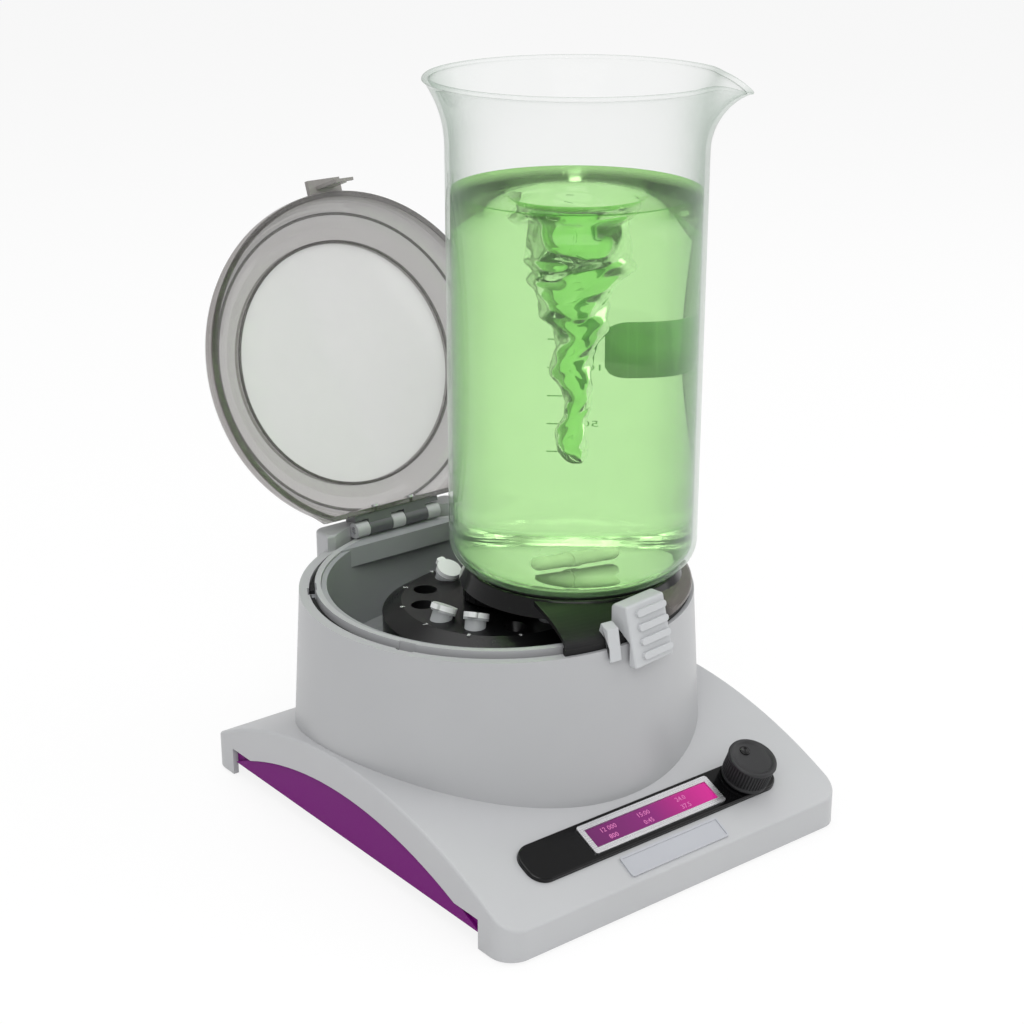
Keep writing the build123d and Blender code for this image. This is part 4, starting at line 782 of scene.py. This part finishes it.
class BeakerSizes(bpy.types.PropertyGroup):
    wall: length("Wall", "Glass thickness", 0.0022)
    corner: length("Foot rounding", "Radius between foot and wall", 0.014)
    flare: length("Flare height", "Height of the flared neck", 0.034)
    bead: length("Rim bead", "Radius of the rim", 0.0018)
    spout_angle: angle("Spout direction", "Turn of the spout about the beaker", radians(-50))
    spout_reach: length("Spout reach", "How far the spout stands out", 0.0095)
    spout_droop: length("Spout droop", "How far the spout hangs down", 0.006)
    patch_angle: angle("Marking patch", "Turn of the marking patch about the beaker", radians(27))
    mark_angle: angle("Graduations", "Turn of the graduations about the beaker", radians(54))
    marks: IntProperty(name="Mark count", description="Number of graduation lines", default=9, min=2)
    mark_step: length("Mark spacing", "Height between graduations", 0.0147)


# Gap between the glass and the frame's liquid, and rise of the floor in its middle
LIQUID_GAP = 0.00005
PUNT = 0.0012
# Half width of the spout, and the place, half width and depth of the pinch on both sides of it
SPOUT_HALF = radians(11)
PINCH_TURN = radians(22)
PINCH_HALF = radians(9)
PINCH_DEPTH = 0.0016


def liquid_side():
    """Radius of the liquid in the frame."""
    return (high("liquid").x - low("liquid").x) / 2


def beaker_side(sizes):
    """Outside radius of the beaker's wall, from the liquid that it holds."""
    return liquid_side() + sizes.wall + LIQUID_GAP


def beaker_line(sizes, inset):
    """Half section of the beaker's outside, or of its inside, from the axis to the rim."""
    foot, top = low("beaker").z, high("beaker").z
    side = beaker_side(sizes) - inset
    corner = sizes.corner - inset
    floor = foot + inset
    punt = 0.0 if inset else PUNT
    line = [(0.0, floor + punt), ((side - corner) * 0.6, floor + punt)]
    line += [((side - corner) * 0.85, floor + punt * 0.3)]
    line += arc((side - corner, floor + corner), corner, -90, 0, 12)
    start, end = top - sizes.flare, top - sizes.bead
    line += [(side, floor + (start - floor) * share) for share in (0.3, 0.6, 0.9)]
    reach = STIR.x - low("beaker").x - beaker_side(sizes) - sizes.bead / 2
    steps = 16
    for step in range(steps + 1):
        share = step / steps
        line.append((side + reach * share**2.2, start + (end - start) * share))
    if not inset:
        line += arc((line[-1][0] - sizes.wall / 2, end), sizes.bead, 0, 180, 10)
    return line


class BENCH_OT_beaker(bpy.types.Operator):
    """Blows the glass beaker with its flared rim and pouring spout"""

    bl_idname = "bench.beaker"
    bl_label = "Beaker"

    def execute(self, context):
        sizes = context.scene.bench_beaker
        neck = high("beaker").z - sizes.flare

        def pour(radius, height, turn, share):
            """Draws the rim out and down at the spout, and in on both sides of it."""
            off = (turn - sizes.spout_angle + pi) % (2 * pi) - pi
            ridge = exp(-((off / SPOUT_HALF) ** 2))
            pinch = exp(-(((abs(off) - PINCH_TURN) / PINCH_HALF) ** 2))
            rise = max(0.0, (height - neck) / sizes.flare)
            far = radius + (sizes.spout_reach * ridge - PINCH_DEPTH * pinch) * rise**1.8
            drop = sizes.spout_droop * ridge * rise**4
            return (far * cos(turn), far * sin(turn), height - drop)

        outline = beaker_line(sizes, 0.0) + beaker_line(sizes, sizes.wall)[::-1]
        beaker = lathe("glass_beaker", outline, upright(STIR), 192, pour)
        settle(beaker, "glass", "vessel", "clear_glass", "beaker")
        return {"FINISHED"}


# Heights of the patch and of the lowest graduation over the beaker's foot, and sizes of both
PATCH_RISE = 0.0997
PATCH_WIDTH = 0.034
PATCH_HEIGHT = 0.029
MARK_RISE = 0.0465
MARK_LENGTH = 0.0046
MARK_WIDTH = 0.0006
ENAMEL = 0.00012
NUMBER_TURN = radians(7)
NUMBER_HEIGHT = 0.0045


class BENCH_OT_beaker_marks(bpy.types.Operator):
    """Puts the marking patch and the graduations on the back of the beaker"""

    bl_idname = "bench.beaker_marks"
    bl_label = "Beaker marks"

    def execute(self, context):
        sizes = context.scene.bench_beaker
        radius = beaker_side(sizes)
        foot = low("beaker").z
        patch = wall_patch("marking_patch", radius, sizes.patch_angle, foot + PATCH_RISE)
        settle(patch, "enamel", "vessel", "white_ptfe")
        tick = slab(
            "tick", rounded_box(MARK_LENGTH, MARK_WIDTH, 0.0002), ENAMEL,
            framed((radius, 0, 0), (0, 1, 0), (1, 0, 0)),
        )
        plan = Repeat("graduation_lines", tick)
        count = plan.input("Count", "NodeSocketInt", sizes.marks)
        step = plan.input("Step", "NodeSocketVector", (0, 0, sizes.mark_step))
        turn = plan.input("Turn", "NodeSocketVector", (0, 0, sizes.mark_angle))
        lines = plan.bake(plan.row(count, step), turn, "enamel", upright(STIR, foot + MARK_RISE))
        settle(lines, "enamel", "vessel", "white_ptfe")
        figures = []
        out, across = spoke(sizes.mark_angle - NUMBER_TURN)
        for row, text in enumerate(("500", "1000", "1500", "2000")):
            height = foot + MARK_RISE + sizes.mark_step * (2 * row + 1)
            spot = Vector((STIR.x, STIR.y, height)) + out * radius
            figures.append(numerals(text, NUMBER_HEIGHT, ENAMEL, framed(spot, across, out)))
        numbers = joined("graduation_numbers", figures)
        settle(numbers, "enamel", "vessel", "white_ptfe")
        return {"FINISHED"}


def wall_patch(name, radius, turn, height, thickness=0.00015, corner=0.006):
    """Thin patch with round corners that follows the beaker's wall."""
    columns = 28
    points, faces = [], []
    for step in range(columns + 1):
        x = PATCH_WIDTH * (step / columns - 0.5)
        edge = max(0.0, corner - (PATCH_WIDTH / 2 - abs(x)))
        half = PATCH_HEIGHT / 2 - corner + sqrt(max(0.0, corner**2 - edge**2))
        bearing = turn + x / radius
        for r in (radius, radius + thickness):
            for z in (height - half, height + half):
                points.append((STIR.x + r * cos(bearing), STIR.y + r * sin(bearing), z))
    for step in range(columns):
        near, far = 4 * step, 4 * step + 4
        for i, j in ((0, 1), (1, 3), (3, 2), (2, 0)):
            faces.append((near + i, near + j, far + j, far + i))
    last = 4 * columns
    faces += [(0, 1, 3, 2), (last, last + 2, last + 3, last + 1)]
    return body_mesh(name, points, faces)


# Depth below the surface and radius of the vortex, in millimetres
VORTEX = (
    (0, 36), (1.2, 33), (4, 30), (10, 28), (18, 24.5), (28, 19.5), (40, 15.5), (52, 13),
    (61, 10), (70, 8.2), (80, 7.2), (90, 6.4), (100, 5), (107, 4), (113, 5.2), (118, 6.2),
    (123, 5.8), (127, 4), (129, 2),
)
VORTEX_ROWS = 120
VORTEX_TIP = 0.8
# Distance from the wall and depth below the rim of the liquid's curved edge, in millimetres
MENISCUS = ((0, 0), (0.6, 0.7), (2.2, 1.2), (6, 1.4))
# Depth where the ripples are full grown, and height and depth of the waves on the funnel's lip
RIPPLE_DEPTH = 0.012
LIP_WAVE = 0.0009
LIP_DEPTH = 0.03


class LiquidSizes(bpy.types.PropertyGroup):
    swirl: FloatProperty(
        name="Swirl", description="Height of the ridges as a share of the vortex's radius",
        default=0.13, min=0, max=0.4,
    )
    ridges: IntProperty(name="Ridges", description="Ridges round the vortex", default=2, min=1)
    pitch: length("Pitch", "Depth over which a ridge turns once round", 0.024)
    wander: length("Wander", "How far the vortex leaves the middle", 0.0015)
    colour: tint("Colour", "Colour of the liquid face on", (0.52, 0.86, 0.38, 1.0))
    edge_colour: tint("Edge colour", "Colour of the liquid at its edges", (0.24, 0.60, 0.14, 1.0))
    through_colour: tint(
        "Seen through", "Tint of what shows straight through each surface", (0.68, 0.90, 0.56, 1.0)
    )


class BENCH_OT_liquid(bpy.types.Operator):
    """Pours the green liquid, drawn down to a twisted vortex"""

    bl_idname = "bench.liquid"
    bl_label = "Liquid"

    def execute(self, context):
        sizes = context.scene.bench_liquid
        glass = context.scene.bench_beaker
        side = liquid_side()
        floor, top = low("liquid").z, high("liquid").z
        corner = glass.corner - glass.wall
        line = [(0.0, floor), ((side - corner) * 0.5, floor)]
        line += arc((side - corner, floor + corner), corner, -90, 0, 10)
        line += [(side, floor + (top - floor) * share) for share in (0.3, 0.6, 0.9)]
        line += [(side - inward * MM, top - depth * MM) for inward, depth in MENISCUS]
        surface = line[-1][1]
        deepest = VORTEX[-1][0]
        funnel = len(line)
        for step in range(VORTEX_ROWS + 1):
            depth = deepest * (step / VORTEX_ROWS) ** 1.15
            line.append((between(VORTEX, depth) * MM, surface - depth * MM))
        line.append((0.0, surface - (deepest + VORTEX_TIP) * MM))
        first = funnel / (len(line) - 1)

        def twist(radius, height, turn, share):
            """Ripples the vortex wall along a helix and lets it wander."""
            if share < first or radius == 0:
                return (radius * cos(turn), radius * sin(turn), height)
            depth = surface - height
            grown = min(1.0, depth / RIPPLE_DEPTH)
            phase = 2 * pi * depth / sizes.pitch
            wave = sin(sizes.ridges * turn + phase)
            wave += 0.5 * sin((sizes.ridges + 1) * turn - phase * 1.7)
            wave += 0.3 * sin(5 * turn + phase * 2.6)
            far = radius * (1 + sizes.swirl * grown * wave * 0.7)
            drift = sizes.wander * grown
            lift = LIP_WAVE * sin(3 * turn + phase) * grown * (1 - min(1.0, depth / LIP_DEPTH))
            x = far * cos(turn) + drift * cos(phase * 0.7)
            return (x, far * sin(turn) + drift * sin(phase * 0.7), height + lift)

        liquid = lathe("stirred_liquid", line, upright(STIR), 120, twist)
        settle(liquid, "liquid", "vessel", "green_liquid", "liquid")
        return {"FINISHED"}


class KnobSizes(bpy.types.PropertyGroup):
    knurls: IntProperty(name="Knurls", description="Ridges round the knob", default=48, min=6)
    knurl_width: length("Knurl width", "Width of one ridge", 0.0008)


# Half sections of the knob's body and of its finger dimple, in millimetres
KNOB_LINE = (
    (0, 0), (11.7, 0), (11.9, 0.3), (11.9, 1.5), (11.4, 1.9), (11.5, 2.3), (11.8, 12), (12.3, 12.3),
    (12.5, 12.8), (12.3, 13.5), (11.7, 13.9), (11.0, 14), (10.4, 13.8), (9.9, 13.2), (9.0, 12.9),
    (6, 12.6), (3, 12.45), (0, 12.4),
)
DIMPLE_LINE = (
    (0, 12.6), (0.8, 12.65), (1.6, 12.95), (2.0, 13.2), (2.4, 13.2), (2.7, 12.9), (2.7, 12.4),
    (0, 12.4),
)
DIMPLE_OFFSET = 0.0058
KNURL_RADIUS = 0.01165
KNURL_RISE = 0.0024
KNURL_LENGTH = 0.0096
KNURL_DEPTH = 0.0009


class BENCH_OT_knob(bpy.types.Operator):
    """Turns the knurled knob with its dished top and finger dimple"""

    bl_idname = "bench.knob"
    bl_label = "Knob"

    def execute(self, context):
        sizes = context.scene.bench_knob
        place = framed(KNOB, (1, 0, 0), KNOB_AXIS)
        body = lathe("control_knob", [(r * MM, z * MM) for r, z in KNOB_LINE], place)
        settle(body, "knob", "dial", "dark_plastic", "knob")
        aside = place @ Matrix.Translation((0, DIMPLE_OFFSET, 0))
        dimple = lathe("knob_dimple", [(r * MM, z * MM) for r, z in DIMPLE_LINE], aside, 40)
        settle(dimple, "gloss_black", "dial", "dark_plastic")
        ridge = slab(
            "ridge", rounded_box(KNURL_DEPTH, sizes.knurl_width, 0.0003, 3), KNURL_LENGTH,
            Matrix.Translation((0, 0, KNURL_RISE)),
        )
        plan = Repeat("knob_knurls", ridge)
        count = plan.input("Count", "NodeSocketInt", sizes.knurls)
        radius = plan.input("Radius", "NodeSocketFloat", KNURL_RADIUS)
        points, turn = plan.ring(count, radius)
        knurls = plan.bake(points, turn, "knob", place)
        settle(knurls, "knob", "dial", "dark_plastic")
        return {"FINISHED"}


class GripSizes(bpy.types.PropertyGroup):
    angle: angle("Direction", "Turn of the grip about the bowl", radians(-83))
    width: length("Width", "Width of the grip", 0.0269)
    lean: length("Lean", "How far the face leans back", 0.0075)
    ribs: IntProperty(name="Ribs", description="Number of finger ribs", default=4, min=1)
    rib_pitch: length("Rib pitch", "From one rib to the next", 0.0069)
    rib_length: length("Rib length", "Length of one rib", 0.0205)


# Radius of the grip's inner face about the bowl, thickness of its foot
GRIP_INNER = 0.1009
GRIP_FOOT = 0.0053
# Half sections where the grip and its cheek hook over the rim: radius and drop below the deck
GRIP_HOOK = (
    (0.0892, 0.0032), (0.0920, 0.0040), (0.0972, 0.0072), (0.0990, 0.0084), (GRIP_INNER, 0.0100),
)
CHEEK_HOOK = ((0.0925, 0.0040), (0.0972, 0.0070), (0.0990, 0.0084), (GRIP_INNER, 0.0100))
CHEEK_TURN = radians(12)
CHEEK_WIDTH = 0.0066
CHEEK_LIFT = 0.005
RIB_WIDTH = 0.0034
RIB_HEIGHT = 0.0020
RIB_SINK = 0.0004


def rim_plate(name, outline, turn, width, rounding):
    """Plate that stands out from the bowl's rim, its outline in radius and height."""
    out, across = spoke(turn)
    turned = Matrix((out, Vector((0, 0, 1)), across * -1)).transposed().to_4x4()
    spot = Vector((DRUM.x, DRUM.y, 0)) + across * width / 2
    return slab(name, outline, width, Matrix.Translation(spot) @ turned, rounding)


class BENCH_OT_grip(bpy.types.Operator):
    """Moulds the ribbed grip of the stirring platform"""

    bl_idname = "bench.grip"
    bl_label = "Grip"

    def execute(self, context):
        sizes = context.scene.bench_grip
        foot, top = low("platform_clip").z, high("platform_clip").z
        deck = high("platform_skirt").z
        outer = GRIP_INNER + GRIP_FOOT
        side = [(radius, deck - drop) for radius, drop in GRIP_HOOK]
        side += [
            (GRIP_INNER, foot), (outer, foot), (outer - sizes.lean, top), (0.0912, top),
            (0.0892, top - 0.002),
        ]
        grip = rim_plate("platform_grip", side, sizes.angle, sizes.width, 0.0011)
        settle(grip, "clip", "platform", "clip_grey", "platform_clip")
        out, across = spoke(sizes.angle)
        face = out * (outer - sizes.lean / 2) + Vector((DRUM.x, DRUM.y, (foot + top) / 2))
        normal = out * (top - foot) + Vector((0, 0, sizes.lean))
        rib = slab(
            "rib", rounded_box(sizes.rib_length, RIB_WIDTH, 0.0016), RIB_HEIGHT,
            Matrix.Translation((0, 0, -RIB_SINK)), 0.0007,
        )
        plan = Repeat("grip_ribs", rib)
        count = plan.input("Count", "NodeSocketInt", sizes.ribs)
        step = plan.input("Step", "NodeSocketVector", (0, sizes.rib_pitch, 0))
        low_end = Matrix.Translation((0.0022, -sizes.rib_pitch * (sizes.ribs - 1) / 2, 0))
        place = framed(face, across, normal) @ low_end
        ribs = plan.bake(plan.row(count, step), (0, 0, 0), "clip", place)
        settle(ribs, "clip", "platform", "clip_grey")
        side = [(radius, deck - drop) for radius, drop in CHEEK_HOOK]
        side += [
            (GRIP_INNER, foot + CHEEK_LIFT), (GRIP_INNER + 0.0018, foot + CHEEK_LIFT),
            (0.0995, deck - 0.0010), (0.0940, deck + 0.0008),
        ]
        cheek = rim_plate("grip_cheek", side, sizes.angle - CHEEK_TURN, CHEEK_WIDTH, 0.0005)
        settle(cheek, "clip", "platform", "clip_grey")
        return {"FINISHED"}


class LidSizes(bpy.types.PropertyGroup):
    ring_radius: length("Window ring", "Radius of the bead round the window", 0.0655)
    step_radius: length("Step ring", "Radius of the moulded step outside the window", 0.0800)
    bead: length("Bead", "Radius of both beads", 0.0008)


# Drop of both beads below the middle of the window
WINDOW_BEAD_DROP = 0.0033
STEP_BEAD_DROP = 0.0066


class BENCH_OT_lid_rings(bpy.types.Operator):
    """Moulds the bead round the lid's window and the step outside it"""

    bl_idname = "bench.lid_rings"
    bl_label = "Lid rings"

    def execute(self, context):
        sizes = context.scene.bench_lid
        reach = Vector((0, -cos(LID_ANGLE), sin(LID_ANGLE)))
        normal = Vector((0, sin(LID_ANGLE), cos(LID_ANGLE)))
        glass = (low("lid_window") + high("lid_window")) / 2 - HINGE
        centre = HINGE + reach * glass.dot(reach)
        height = glass.dot(normal)
        place = framed(centre, (1, 0, 0), normal)
        for name, radius, drop in (
            ("window_bead", sizes.ring_radius, WINDOW_BEAD_DROP),
            ("step_bead", sizes.step_radius, STEP_BEAD_DROP),
        ):
            bead = lathe(name, arc((radius, height - drop), sizes.bead, 0, 324, 9), place, 128)
            settle(bead, "edge_smoke", "lid", "smoked_clear")
        return {"FINISHED"}


class RotorSizes(bpy.types.PropertyGroup):
    places: IntProperty(name="Places", description="Number of tube positions", default=12, min=1)
    first_place: angle("First place", "Turn of the first tube position", radians(6))
    number_radius: length("Number radius", "From the rotor's axis to its numbers", 0.0488)
    number_height: length("Number height", "Height of the position numbers", 0.0036)


ROTOR_INK = 0.00008


class BENCH_OT_rotor_numbers(bpy.types.Operator):
    """Prints a number beside each tube position of the rotor"""

    bl_idname = "bench.rotor_numbers"
    bl_label = "Rotor numbers"

    def execute(self, context):
        sizes = context.scene.bench_rotor
        figures = []
        for place in range(sizes.places):
            out, across = spoke(sizes.first_place + 2 * pi * place / sizes.places)
            spot = Vector((DRUM.x, DRUM.y, high("rotor").z)) + out * sizes.number_radius
            where = framed(spot, across, (0, 0, 1))
            figures.append(numerals(str(place + 1), sizes.number_height, ROTOR_INK, where))
        numbers = joined("rotor_numbers", figures)
        settle(numbers, "cap", "spinner", "cap_white")
        return {"FINISHED"}


class DisplaySizes(bpy.types.PropertyGroup):
    digit_height: length("Digit height", "Height of the digits", 0.0036)


# Digits on the display: their columns to the right of its middle, and their rows above it
DIGIT_COLUMNS = (-0.026, -0.004, 0.020)
DIGIT_ROWS = ((0.0021, ("12 000", "15:00", "24.0")), (-0.0026, ("800", "0:45", "37.5")))
DIGIT_LIFT = 0.00072
DIGIT_DEPTH = 0.00006


class BENCH_OT_display(bpy.types.Operator):
    """Lights the numbers on the display"""

    bl_idname = "bench.display"
    bl_label = "Display"

    def execute(self, context):
        sizes = context.scene.bench_display
        first, last = low("display_window"), high("display_window")
        place = framed((first + last) / 2 + KNOB_AXIS * DIGIT_LIFT, (1, 0, 0), KNOB_AXIS)
        figures = []
        for y, texts in DIGIT_ROWS:
            for x, text in zip(DIGIT_COLUMNS, texts):
                spot = place @ Matrix.Translation((x, y, 0))
                figures.append(numerals(text, sizes.digit_height, DIGIT_DEPTH, spot))
        digits = joined("display_digits", figures)
        settle(digits, "digits", "instrument", "display")
        return {"FINISHED"}


class BENCH_PT_panel(bpy.types.Panel):
    """Lists the operators in the sidebar"""

    bl_label = "Stirring centrifuge"
    bl_space_type = "VIEW_3D"
    bl_region_type = "UI"
    bl_category = "Stirring centrifuge"

    def draw(self, context):
        for operator in OPERATORS:
            self.layout.operator(operator.bl_idname)


GROUPS = {
    "bench_camera": CameraSizes,
    "bench_beaker": BeakerSizes,
    "bench_liquid": LiquidSizes,
    "bench_knob": KnobSizes,
    "bench_grip": GripSizes,
    "bench_lid": LidSizes,
    "bench_rotor": RotorSizes,
    "bench_display": DisplaySizes,
}
OPERATORS = [
    BENCH_OT_finishes, BENCH_OT_beaker, BENCH_OT_beaker_marks, BENCH_OT_liquid, BENCH_OT_knob,
    BENCH_OT_grip, BENCH_OT_lid_rings, BENCH_OT_rotor_numbers, BENCH_OT_display, BENCH_OT_stage,
]


def register():
    for cls in [*GROUPS.values(), *OPERATORS, BENCH_PT_panel]:
        bpy.utils.register_class(cls)
    for name, group in GROUPS.items():
        setattr(bpy.types.Scene, name, PointerProperty(type=group))


def unregister():
    for name in GROUPS:
        delattr(bpy.types.Scene, name)
    for cls in reversed([*GROUPS.values(), *OPERATORS, BENCH_PT_panel]):
        bpy.utils.unregister_class(cls)


def main():
    """Builds everything."""
    register()
    for operator in OPERATORS:
        group, name = operator.bl_idname.split(".")
        getattr(getattr(bpy.ops, group), name)()


if __name__ == "__main__":
    main()
